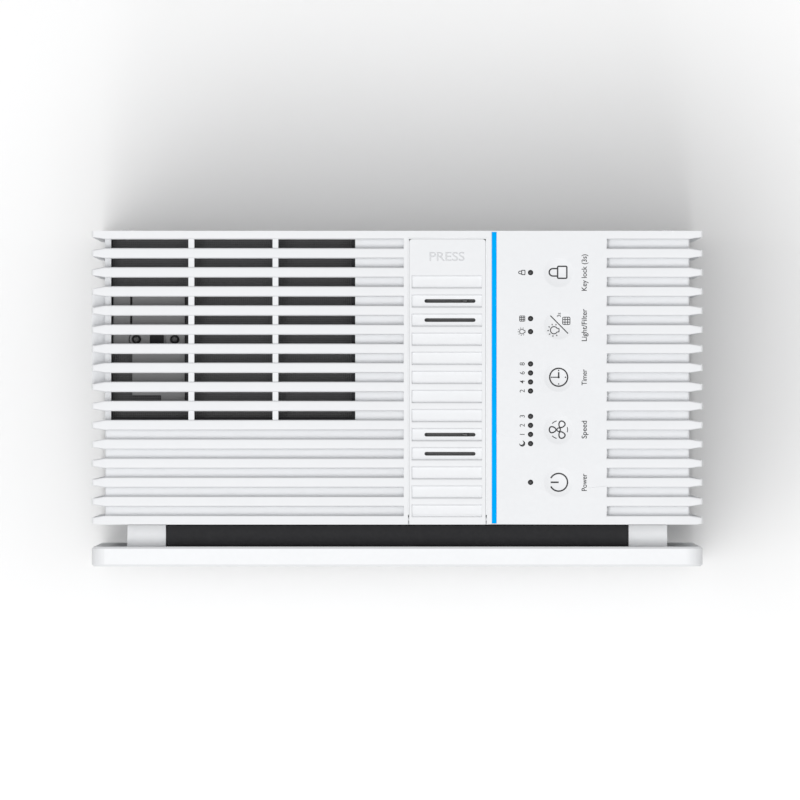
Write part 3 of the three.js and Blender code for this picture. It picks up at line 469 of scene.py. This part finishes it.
def top_cover_radius(middle, along):
    """How far an edge of the top cover is rounded."""
    length = along.length
    at_top = middle.z > TOP - 0.05
    level = abs(along.z) < 0.01
    if within(middle.x, KEYS_X) and within(middle.y, KEYS_Y):
        return KEY_EDGE if at_top else 0.0
    if at_top and level and length > 3.0:
        if not within(middle.y, INSIDE_OUTLINE_Y):
            return 0.0
        lengthways = abs(along.y) > abs(along.x)
        beside_lid = within(middle.x, LID_X) and (lengthways or within(middle.y, LID_BACK_Y))
        return OPENING_EDGE if beside_lid or within(middle.x, STRIP_X) else RIB_EDGE
    at_groove_floor = abs(middle.z - (TOP - RIB_DEPTH)) < 0.1
    if level and at_groove_floor and length > 2.0 and abs(middle.x) > GROOVE_END_X:
        return GROOVE_END_EDGE
    if length > 4.0 and abs(along.z) > 0.9 * length and abs(middle.x) > RIB_TIP_X:
        return RIB_TIP_EDGE
    return 0.0


def make_top_cover():
    """The top cover with smooth key bowls and round lamp holes."""
    node = NODES["top_cover"]
    cover = bpy.data.objects.new("top_shell", mesh_of(cleaned(node.data), "top_shell"))
    scene.collection.objects.link(cover)
    cutter = bmesh.new()
    rings, above = 12, 2.0
    bowl = [(DISH_RADIUS * r / rings, DISH_DEPTH * ((r / rings) ** 2 - 1.0)) for r in range(rings + 1)]
    bowl += [(DISH_RADIUS, above), (0, above)]
    for key in KEYS:
        revolve(cutter, bowl, (key.x, key.y, TOP), sides=72)
    hole = [(0, -6.0), (LAMP_HOLE_RADIUS, -6.0), (LAMP_HOLE_RADIUS, 1.0), (0, 1.0)]
    for y in LAMP_YS:
        revolve(cutter, hole, (LAMP_X, y, TOP), sides=32)
    bmesh.ops.recalc_face_normals(cutter, faces=cutter.faces)
    cut_by(cover, cutter)
    mesh = cover.data
    bpy.data.objects.remove(cover)
    mesh.shade_smooth()
    weigh_edges(mesh, top_cover_radius, RIB_EDGE)
    shell = make_piece("top_shell", mesh, "housing", "white_shell", replaced=["top_cover"])
    soften(shell, RIB_EDGE, 3, weighed=True)


def make_lamps():
    """Smoked light guides on a common bar, with a paler window in the middle of each."""
    low, high = box_mm("indicator_guide")
    bar_height, rod_radius, window_radius = 1.9, 1.32, 0.66
    foot, top = low.z + 0.8, high.z
    rod = [
        (0, foot), (rod_radius, foot), (rod_radius, top - 0.25), (1.2, top - 0.06),
        (1.0, top), (0.72, top), (0.7, top - 0.15), (0, top - 0.15),
    ]
    window = [
        (0, top - 0.3), (window_radius, top - 0.3), (window_radius, top - 0.06), (0.4, top - 0.02), (0, top),
    ]
    guide, windows = bmesh.new(), bmesh.new()
    add_box(guide, (low.x, low.y, low.z), (high.x, high.y, low.z + bar_height))
    for y in LAMP_YS:
        revolve(guide, rod, (LAMP_X, y, 0.0), sides=32)
        revolve(windows, window, (LAMP_X, y, 0.0), sides=24)
    for bm in (guide, windows):
        bmesh.ops.recalc_face_normals(bm, faces=bm.faces)
    mesh = mesh_of(guide, "lamp_guides")
    smooth_by_angle(mesh)
    make_piece("lamp_guides", mesh, "housing", "smoked_lens", replaced=["indicator_guide"])
    mesh = mesh_of(windows, "lamp_windows")
    smooth_by_angle(mesh)
    pale = moulded_plastic("lamp_window", (0.05, 0.05, 0.052), 0.45, grain=0.001, gloss=0.3)
    make_piece("lamp_windows", mesh, "housing", "smoked_lens", material=pale)


def make_feet():
    """Rubber feet, each a cone with rounded rims and a shallow hollow in its sole."""
    for number in range(1, 5):
        name = f"foot_{number}"
        low, high = box_mm(name)
        middle = (low + high) / 2
        bm = bmesh.new()
        height = high.z
        profile = [
            (0, 0.5), (3.0, 0.5), (3.6, 0.0), (8.6, 0.0), (9.2, 0.15), (9.6, 0.5),
            (10.7, height - 0.5), (10.6, height - 0.15), (10.3, height), (0, height),
        ]
        revolve(bm, profile, (middle.x, middle.y, 0.0), sides=64)
        bmesh.ops.recalc_face_normals(bm, faces=bm.faces)
        mesh = mesh_of(bm, name + "_rubber")
        smooth_by_angle(mesh, 50.0)
        make_piece(name + "_rubber", mesh, "housing", "rubber_foot", replaced=[name])


def screw_mesh(name, head, height, shank, length):
    """A pan-head screw with a cross recess, head upwards, its seat at the origin. Millimetres."""
    bm = bmesh.new()
    profile = [
        (0, -length), (shank * 0.4, -length), (shank, -length + 1.0), (shank, 0), (head * 0.97, 0),
        (head, 0.12), (head, height * 0.35), (head * 0.93, height * 0.72),
        (head * 0.75, height * 0.93), (head * 0.5, height), (0, height),
    ]
    revolve(bm, profile, (0, 0, 0), sides=40)
    bmesh.ops.recalc_face_normals(bm, faces=bm.faces)
    screw = bpy.data.objects.new(name, mesh_of(bm, name))
    scene.collection.objects.link(screw)
    for wide, deep in ((head * 0.58, head * 0.13), (head * 0.13, head * 0.58)):
        cross = bmesh.new()
        add_box(cross, (-wide, -deep, height * 0.35), (wide, deep, height + 1.0))
        cut_by(screw, cross)
    mesh = screw.data
    bpy.data.objects.remove(screw)
    smooth_by_angle(mesh, 35.0)
    return mesh


def make_screws():
    """Replaces each screw, turning the recesses a little differently from one to the next."""
    # Each kind: how many, its form, the way its head faces and the height of the head.
    kinds = {
        "base_screw": (4, screw_mesh("base_screw_form", 3.5, 2.2, 1.7, 11.0), Vector((0, 0, -1)), 2.2),
        "rear_screw": (4, screw_mesh("rear_screw_form", 3.4, 1.9, 1.6, 4.2), Vector((0, 1, 0)), 1.9),
        "ion_screw": (2, screw_mesh("ion_screw_form", 2.5, 1.6, 1.2, 6.0), Vector((0, 0, 1)), 1.6),
    }
    for kind, (count, form, outward, height) in kinds.items():
        for number in range(1, count + 1):
            node = f"{kind}_{number}"
            low, high = box_mm(node)
            seat = (low + high) / 2
            tip = high if sum(outward) > 0 else low
            for axis in range(3):
                if outward[axis]:
                    seat[axis] = tip[axis] - outward[axis] * height
            mesh = form.copy()
            mesh.name = node + "_fine"
            turn = Matrix.Rotation(0.7 * number + 0.3 * height, 4, "Z")
            lean = outward.to_track_quat("Z", "Y").to_matrix().to_4x4()
            mesh.transform(Matrix.Translation(seat * MM) @ lean @ turn)
            dark = BLACKENED if kind == "ion_screw" else None
            make_piece(node + "_fine", mesh, "housing", "steel", material=dark, replaced=[node])
        bpy.data.meshes.remove(form)


def make_pleats():
    """Pleats on both faces of the paper filter."""
    low, high = box_mm("hepa_filter")
    recess, border, clearance, pitch, depth = 2.0, 5.0, 0.1, 3.6, 1.7
    x0, x1 = low.x + border + clearance, high.x - border - clearance
    ends = (low.z + border + clearance, high.z - border - clearance)
    count = round((x1 - x0) / pitch)
    step = (x1 - x0) / count
    line = []
    for index in range(count):
        start = x0 + index * step
        line += [(start, 0.0), (start + step * 0.38, 1.0), (start + step * 0.62, 1.0)]
    line.append((x1, 0.0))
    for label, floor, rise in (("front", low.y + recess, -depth), ("back", high.y - recess, depth)):
        bm = bmesh.new()
        bottoms, crests = [], []
        for end in ends:
            crests.append([bm.verts.new((x * MM, (floor + rise * up) * MM, end * MM)) for x, up in line])
            bottoms.append([bm.verts.new((x * MM, (floor - rise * 0.05) * MM, end * MM)) for x in (x0, x1)])
        for index in range(len(line) - 1):
            bm.faces.new((crests[0][index], crests[0][index + 1], crests[1][index + 1], crests[1][index]))
        bm.faces.new((bottoms[0][0], bottoms[1][0], bottoms[1][1], bottoms[0][1]))
        for crest, bottom in zip(crests, bottoms):
            bm.faces.new([*crest, bottom[1], bottom[0]])
        for side in (0, -1):
            bm.faces.new((crests[0][side], crests[1][side], bottoms[1][side], bottoms[0][side]))
        bmesh.ops.recalc_face_normals(bm, faces=bm.faces)
        make_piece(f"pleats_{label}", mesh_of(bm, f"pleats_{label}"), "filter_stack", "filter_paper")


def make_prefilter_nets():
    """The net stretched over both sides of the prefilter's frame."""
    low, high = box_mm("prefilter")
    inset, half_thickness = 6.8, 0.04
    for label, y in (("front", low.y + 1.5), ("back", low.y + 2.5)):
        name = f"prefilter_net_{label}"
        bm = bmesh.new()
        add_box(
            bm,
            (low.x + inset, y - half_thickness, low.z + inset),
            (high.x - inset, y + half_thickness, high.z - inset),
        )
        make_piece(name, mesh_of(bm, name), "prefilter", "screen_mesh")


def make_outlet_screen():
    """The net under the outlet windows, stretched over its frame."""
    low, high = box_mm("outlet_guard")
    front, right, bottom, top = -12.6, -24.4, 428.04, 428.34
    bm = bmesh.new()
    add_box(bm, (low.x + 0.2, front, bottom), (right, high.y - 0.3, top))
    make_piece(
        "outlet_screen", mesh_of(bm, "outlet_screen"), "housing", "screen_mesh",
        material=OUTLET_NET, replaced=["outlet_mesh"],
    )


# ---- Printing and raised lettering ----------------------------------------------------------------


LINE_WIDTH = 0.68
INK_SPREAD = 1.22  # a printed line comes out this much wider than it is drawn
LONGEST_STRAIGHT = 0.8  # of a printed line, so that it follows a bowl
INK_LIFT = 0.03  # above the console, so that the two surfaces don't fight


class Print:
    """Flat shapes in millimetres, gathered and then laid on the console just above its surface."""

    def __init__(self):
        self.bm = bmesh.new()
        self.at((0.0, 0.0))

    def at(self, centre, scale=1.0, width=LINE_WIDTH):
        """What is drawn next is placed about this centre."""
        self.centre, self.scale, self.width = centre, scale, width
        return self

    def vert(self, point):
        x = self.centre[0] + self.scale * point[0]
        y = self.centre[1] + self.scale * point[1]
        return self.bm.verts.new((x, y, 0.0))

    def fill(self, points):
        self.bm.faces.new([self.vert(point) for point in points])

    def line(self, points, width=None, closed=False):
        """A band of even width along a path, cut into short lengths so that it follows a bowl."""
        half = INK_SPREAD * (width or self.width) / 2 / self.scale
        path = []
        pairs = list(zip(points, points[1:] + points[:1] if closed else points[1:]))
        for (ax, ay), (bx, by) in pairs:
            parts = max(1, math.ceil(self.scale * math.hypot(bx - ax, by - ay) / LONGEST_STRAIGHT))
            path += [(ax + (bx - ax) * i / parts, ay + (by - ay) * i / parts) for i in range(parts)]
        if not closed:
            path.append(points[-1])
        sides = []
        for index, (x, y) in enumerate(path):
            before = path[index - 1] if index or closed else path[index]
            after = path[(index + 1) % len(path)] if index + 1 < len(path) or closed else path[index]
            ways = []
            for (fx, fy), (tx, ty) in ((before, (x, y)), ((x, y), after)):
                size = math.hypot(tx - fx, ty - fy)
                if size > 1e-9:
                    ways.append(((ty - fy) / size, -(tx - fx) / size))
            nx, ny = (sum(w[i] for w in ways) / len(ways) for i in (0, 1))
            stretch = half / max(0.5, nx * nx + ny * ny)
            right, up = nx * stretch, ny * stretch
            sides.append((self.vert((x + right, y + up)), self.vert((x - right, y - up))))
        for near, far in zip(sides, sides[1:] + (sides[:1] if closed else [])):
            self.bm.faces.new((near[1], near[0], far[0], far[1]))

    def arc(self, centre, radius, start, end, width=None):
        steps = max(6, int(abs(end - start) / 6))
        points = []
        for step in range(steps + 1):
            turn = math.radians(start + (end - start) * step / steps)
            points.append((centre[0] + radius * math.cos(turn), centre[1] + radius * math.sin(turn)))
        whole = abs(end - start) >= 360
        self.line(points[:-1] if whole else points, width, closed=whole)

    def dot(self, centre, radius):
        sides = 20
        turns = [math.tau * i / sides for i in range(sides)]
        self.fill([(centre[0] + radius * math.cos(t), centre[1] + radius * math.sin(t)) for t in turns])

    def words(self, text, length=None, height=3.4, boldness=0.012):
        """Text that runs towards the back, its capitals this high. The centre is the middle of its box."""
        glyphs, low, high = flat_text(text, offset=boldness)
        tall = height / CAPITAL
        wide = (length / (high.x - low.x)) if length else tall
        known = {}
        for polygon in glyphs.polygons:
            corners = []
            for index in polygon.vertices:
                if index not in known:
                    spot = glyphs.vertices[index].co
                    along = (spot.x - (low.x + high.x) / 2) * wide
                    across = -(spot.y * tall - height / 2)
                    known[index] = self.vert((across / self.scale, along / self.scale))
                corners.append(known[index])
            if len(set(corners)) > 2:
                self.bm.faces.new(corners)
        bpy.data.meshes.remove(glyphs)

    def lay(self, name, material):
        for vert in self.bm.verts:
            x, y = vert.co.x, vert.co.y
            vert.co = Vector((x, y, dish_height(x, y) + INK_LIFT)) * MM
        self.bm.normal_update()
        for face in self.bm.faces:
            if face.normal.z < 0:
                face.normal_flip()
        make_piece(name, mesh_of(self.bm, name), "housing", "smoked_lens", material=material)


def flat_text(text, rounding=0.0, offset=0.0):
    """A mesh of the words in Blender's own font, at size 1, and the corners of its box."""
    curve = bpy.data.curves.new("words", "FONT")
    curve.body = text
    curve.resolution_u = 4
    curve.bevel_depth = rounding
    curve.offset = offset
    holder = bpy.data.objects.new("words", curve)
    scene.collection.objects.link(holder)
    mesh = bpy.data.meshes.new_from_object(holder.evaluated_get(bpy.context.evaluated_depsgraph_get()))
    bpy.data.objects.remove(holder)
    bpy.data.curves.remove(curve)
    spots = [vert.co for vert in mesh.vertices]
    low = Vector([min(spot[i] for spot in spots) for i in range(3)])
    high = Vector([max(spot[i] for spot in spots) for i in range(3)])
    return mesh, low, high


def capital_height():
    mesh, low, high = flat_text("H")
    bpy.data.meshes.remove(mesh)
    return high.y - low.y


CAPITAL = capital_height()


def rounded_frame(x0, x1, y0, y1, radius):
    """A rectangle with round corners, as points."""
    points = []
    corners = ((x1 - radius, y0 + radius, -90), (x1 - radius, y1 - radius, 0),
               (x0 + radius, y1 - radius, 90), (x0 + radius, y0 + radius, 180))
    for x, y, start in corners:
        for turn in (0, 30, 60, 90):
            angle = math.radians(start + turn)
            points.append((x + radius * math.cos(angle), y + radius * math.sin(angle)))
    return points


def draw_padlock(ink):
    ink.line(rounded_frame(-0.6, 4.7, -3.3, 3.6, 0.6), closed=True)
    ink.line([(-0.6, 2.3), (-3.3, 2.3)])
    ink.line([(-0.6, -2.0), (-3.3, -2.0)])
    ink.arc((-3.3, 0.15), 2.15, 90, 270)


def draw_bulb(ink, width=0.5):
    ink.arc((0, 0), 2.1, 32, 328, width)
    ink.line([(1.78, 1.1), (2.9, 0.9), (3.0, 0.0), (2.9, -0.9), (1.78, -1.1)], width)
    for turn in (70, 108, 146, 184, 222, 260, 298):
        across, up = math.cos(math.radians(turn)), math.sin(math.radians(turn))
        ink.line([(3.0 * across, 3.0 * up), (3.9 * across, 3.9 * up)], width)


def draw_filter(ink, width=0.42):
    ink.line(rounded_frame(-2.1, 2.1, -2.1, 2.1, 0.6), width, closed=True)
    for shift in (-0.75, 0.75):
        ink.line([(shift, -2.1), (shift, 2.1)], width)
        ink.line([(-2.1, shift), (2.1, shift)], width)


def draw_clock(ink):
    ink.arc((0, 0), 5.15, 0, 360, 0.68)
    ink.line([(0, 0), (0, 3.0)], 0.72)
    ink.line([(0, 0), (-3.6, 0)], 0.5)
    ink.dot((0, 0), 0.65)
    for x, y in ((3.9, 0), (0, -3.9), (-4.1, 0), (0, 3.95)):
        ink.dot((x, y), 0.42)


def draw_fan(ink):
    ink.arc((0, 0), 1.0, 0, 360, 0.55)
    for blade in (180, 60, -60):
        turn = math.radians(blade)
        outline = []
        for step in range(28):
            angle = math.tau * step / 28
            along = 3.45 + 1.95 * math.cos(angle)
            across = 1.7 * math.sin(angle) * (1 + 0.3 * math.cos(angle))
            outline.append((along * math.cos(turn) - across * math.sin(turn),
                            along * math.sin(turn) + across * math.cos(turn)))
        ink.line(outline, 0.62, closed=True)
        ink.arc((0, 0), 5.15, blade + 180 - 17, blade + 180 + 17, 0.42)


def draw_power(ink):
    ink.arc((0, 0), 5.1, -152, 152, 0.7)
    ink.line([(-4.6, 0), (0, 0)], 0.75)


def draw_moon(ink):
    """A crescent, as short strips between its outer and inner edges."""
    steps = 14
    edges = []
    for step in range(steps + 1):
        share = 2.0 * step / steps - 1.0
        turn = math.radians(-50.0 + 138.0 * share)
        outer = (1.75 * math.cos(turn), 1.75 * math.sin(turn))
        deep = 1.25 * (1.0 - share * share) + 0.02
        edges.append((outer, (outer[0] - deep * math.cos(turn), outer[1] - deep * math.sin(turn))))
    for (outer0, inner0), (outer1, inner1) in zip(edges, edges[1:]):
        ink.fill([outer0, outer1, inner1, inner0])


def print_console():
    """Generic symbols in the key bowls, their names beside them, and marks beside the lamps."""
    dark, pale = Print(), Print()
    lock, light, timer, speed, power = [(key.x + 0.1, key.y) for key in KEYS]
    draw_padlock(dark.at(lock))
    draw_clock(dark.at(timer))
    draw_fan(dark.at(speed))
    draw_power(dark.at(power))
    dark.at(light).line([(-4.8, 5.4), (5.4, -4.9)], 0.5)
    draw_bulb(pale.at((light[0] - 2.7, light[1] - 3.0), 0.98))
    draw_filter(pale.at((light[0] + 4.4, light[1] + 2.4)))
    pale.at((light[0] + 0.1, light[1] + 5.8)).words("3s", height=2.1)

    label_x, label_height = 107.7, 2.9
    labels = (
        ("Key lock (3s)", 21.0), ("Light/Filter", 18.6), ("Timer", 9.2), ("Speed", 10.2), ("Power", 10.0),
    )
    for key, (text, length) in zip(KEYS, labels):
        dark.at((label_x, key.y)).words(text, length, label_height)

    mark_x = LAMP_X - 4.8
    for text, y in zip("8642321", LAMP_YS[3:10]):
        dark.at((mark_x, y)).words(text, height=2.8, boldness=0.002)
    draw_moon(dark.at((mark_x, LAMP_YS[10])))
    draw_padlock(dark.at((mark_x - 0.1, LAMP_YS[0]), 0.36, 0.4))
    draw_filter(dark.at((mark_x, LAMP_YS[1]), 0.72), 0.34)
    draw_bulb(dark.at((mark_x - 0.2, LAMP_YS[2]), 0.62), 0.36)
    dark.lay("console_print", INK)
    pale.lay("console_print_pale", FAINT_INK)


def make_ion_details():
    """A collar round each screw of the ion generator, and the dark emitter window between them."""
    collars = bmesh.new()
    middles = []
    ring = [(2.75, -2.4), (3.5, -2.4), (3.5, -0.5), (3.35, -0.25), (2.95, -0.25), (2.75, -0.5), (2.75, -2.4)]
    for number in (1, 2):
        low, high = box_mm(f"ion_screw_{number}")
        middle, top = (low + high) / 2, high.z
        middles.append(middle)
        profile = [(radius, top + level) for radius, level in ring]
        revolve(collars, profile, (middle.x, middle.y, 0.0), sides=48)
    bmesh.ops.remove_doubles(collars, verts=collars.verts, dist=1e-7)
    bmesh.ops.recalc_face_normals(collars, faces=collars.faces)
    mesh = mesh_of(collars, "ion_collars")
    smooth_by_angle(mesh)
    make_piece("ion_collars", mesh, "housing", "grey_plastic")

    centre = (middles[0] + middles[1]) / 2
    half_width, half_depth, bottom, upper = 4.6, 2.4, top - 2.4, top - 1.2
    bm = bmesh.new()
    add_box(
        bm,
        (centre.x - half_width, centre.y - half_depth, bottom),
        (centre.x + half_width, centre.y + half_depth, upper),
    )
    soften(make_piece("ion_window", mesh_of(bm, "ion_window"), "housing", "charcoal_plastic"), 0.3)


LID_GROOVES_Y = (-68.0, 84.0)
LID_LOWER_FACE = TOP - 2.6
LID_OUTLINE_EDGE, LID_UNDER_EDGE, LID_GROOVE_EDGE = 0.12, 0.15, 0.75


def lid_radius(middle, along):
    """How far an edge of the scent lid is rounded."""
    if middle.z < LID_LOWER_FACE:
        return LID_UNDER_EDGE
    if abs(along.x) > 30.0 and within(middle.y, LID_GROOVES_Y):
        return LID_GROOVE_EDGE
    return LID_OUTLINE_EDGE


def make_lid():
    """The scent lid, with soft grooves."""
    mesh = mesh_of(cleaned(NODES["aroma_lid"].data), "scent_lid")
    mesh.shade_smooth()
    weigh_edges(mesh, lid_radius, LID_GROOVE_EDGE)
    lid = make_piece("scent_lid", mesh, "lid", "white_shell", replaced=["aroma_lid"])
    soften(lid, LID_GROOVE_EDGE, 3, weighed=True)


def make_press_letters():
    """The raised word at the lid's press point, in a darker white than the lid: painted shade for the
    shading at its edges.
    """
    left, right, bottom, capital, relief = 18.6, 38.7, 79.2, 5.2, 0.9
    letters, low, high = flat_text("PRESS", rounding=0.036, offset=-0.03)
    tall = capital / (high.y - low.y)
    wide = (right - left) / (high.x - low.x)
    for vert in letters.vertices:
        x, y, z = vert.co
        vert.co = Vector((left + (x - low.x) * wide, bottom + (y - low.y) * tall,
                          TOP + relief * (z - low.z) / (high.z - low.z) - relief / 2)) * MM
    smooth_by_angle(letters, 30.0)
    letters.name = "press_letters"
    # Darker than the lid: painted shade for the letters' edges.
    make_piece("press_letters", letters, "lid", "white_shell", material=LETTER_SHADE_PAINT)


def make_painted_light_strips():
    """White strips on the walls of the lid's opening, a lighter white than the shell's: painted light that
    brightens the shaded gap round the lid.
    """
    low, high = box_mm("aroma_lid")
    pin, near, far, front, deep, sunk = 2.2, 0.12, 0.72, -67.0, 3.0, 0.42
    left, right, back = low.x + pin, high.x - pin, high.y
    bm = bmesh.new()
    for x0, x1 in ((left - far, left - near), (right + near, right + far)):
        add_box(bm, (x0, front, TOP - deep), (x1, back + near, TOP - sunk))
    add_box(bm, (left - far, back + near, TOP - deep), (right + far, back + far, TOP - sunk))
    # The strips are painted light: a lighter white laid where the gap is in shade.
    make_piece("lid_gap_painted_strips", mesh_of(bm, "lid_gap_painted_strips"), "housing", "white_shell", material=GAP_LIGHT_PAINT)


def make_tray_clips():
    """The scent tray's dark clips, seen in two of the lid's slots."""
    x0, x1, half_length, bottom, top = 37.6, 40.4, 0.7, 453.4, 457.6
    bm = bmesh.new()
    for y in (56.3, -20.8):
        add_box(bm, (x0, y - half_length, bottom), (x1, y + half_length, top))
    clips = make_piece(
        "tray_clips", mesh_of(bm, "tray_clips"), "tray", "charcoal_plastic", material=BLACKENED
    )
    soften(clips, 0.15)


make_top_cover()
make_outlet_screen()
print_console()
make_ion_details()
make_lid()
make_press_letters()
make_painted_light_strips()
make_tray_clips()
make_lamps()
make_feet()
make_screws()
make_pleats()
make_prefilter_nets()


# ---- Studio ---------------------------------------------------------------------------------------


def make_floor():
    floor_look = Surface("studio_floor", (0.92, 0.92, 0.92), 0.9)
    floor_look.tint(floor_look.spread(floor_look.noise(3.0, 2.0), 0.0, 1.0), (0.91, 0.91, 0.91))
    bm = bmesh.new()
    half, level = 9.0, -0.0002  # metres; just under the feet
    corners = [bm.verts.new((x * half, y * half, level)) for x, y in ((-1, -1), (1, -1), (1, 1), (-1, 1))]
    bm.faces.new(corners)
    floor = bpy.data.objects.new("studio_floor", mesh_of(bm, "studio_floor"))
    floor.data.materials.append(floor_look.material)
    scene.collection.objects.link(floor)


def make_surroundings():
    world = bpy.data.worlds.new("studio")
    scene.world = world
    world.use_nodes = True
    background = world.node_tree.nodes["Background"]
    background.inputs["Color"].default_value = (1.0, 1.0, 1.0, 1.0)
    ways = world.node_tree.nodes.new("ShaderNodeLightPath")
    seen = world.node_tree.nodes.new("ShaderNodeMapRange")
    seen.inputs["To Min"].default_value = 0.30  # what lights the object
    seen.inputs["To Max"].default_value = 0.93  # what stands behind it
    world.node_tree.links.new(ways.outputs["Is Camera Ray"], seen.inputs["Value"])
    world.node_tree.links.new(seen.outputs["Result"], background.inputs["Strength"])


def make_lights():
    middle, distance = Vector((0.0, 0.0, 0.25)), 9.0
    # Each lamp: bearing from the front towards the left, elevation, diameter in metres, power in watts.
    lamps = {
        "overhead": (0, 89.9, 4.8, 318.0),
        "key": (40, 78, 3.6, 307.0),
        "front_fill": (0, 45, 4.2, 112.0),
        "left_fill": (90, 45, 4.2, 21.0),
        "right_rim": (-90, 33, 2.4, 16.0),
    }
    for name, (bearing, elevation, size, power) in lamps.items():
        light = bpy.data.lights.new(name, "AREA")
        light.shape = "DISK"
        light.size = size
        light.energy = power
        lamp = bpy.data.objects.new(name, light)
        scene.collection.objects.link(lamp)
        turn, lift = math.radians(bearing), math.radians(elevation)
        away = Vector((-math.sin(turn) * math.cos(lift), -math.cos(turn) * math.cos(lift), math.sin(lift)))
        lamp.location = middle + away * distance
        lamp.rotation_euler = (-away).to_track_quat("-Z", "Y").to_euler()
        lamp.visible_camera = False
        lamp.visible_glossy = name != "overhead"  # no mirror image of it in the flat top


def make_camera():
    """Straight down on the top, from far enough away that the sides don't show."""
    width_seen = 0.4608  # metres across the picture, level with the top
    lens, sensor = 1200.0, 36.0  # millimetres
    data = bpy.data.cameras.new("camera")
    data.lens = lens
    data.sensor_width = sensor
    data.clip_end = 100.0
    camera = bpy.data.objects.new("camera", data)
    scene.collection.objects.link(camera)
    camera.location = (0.0016, -0.0008, CAD_BOX[1].z + width_seen * lens / sensor)
    scene.camera = camera
    scene.view_settings.view_transform = "Standard"
    scene.view_settings.look = "None"


make_floor()
make_surroundings()
make_lights()
make_camera()
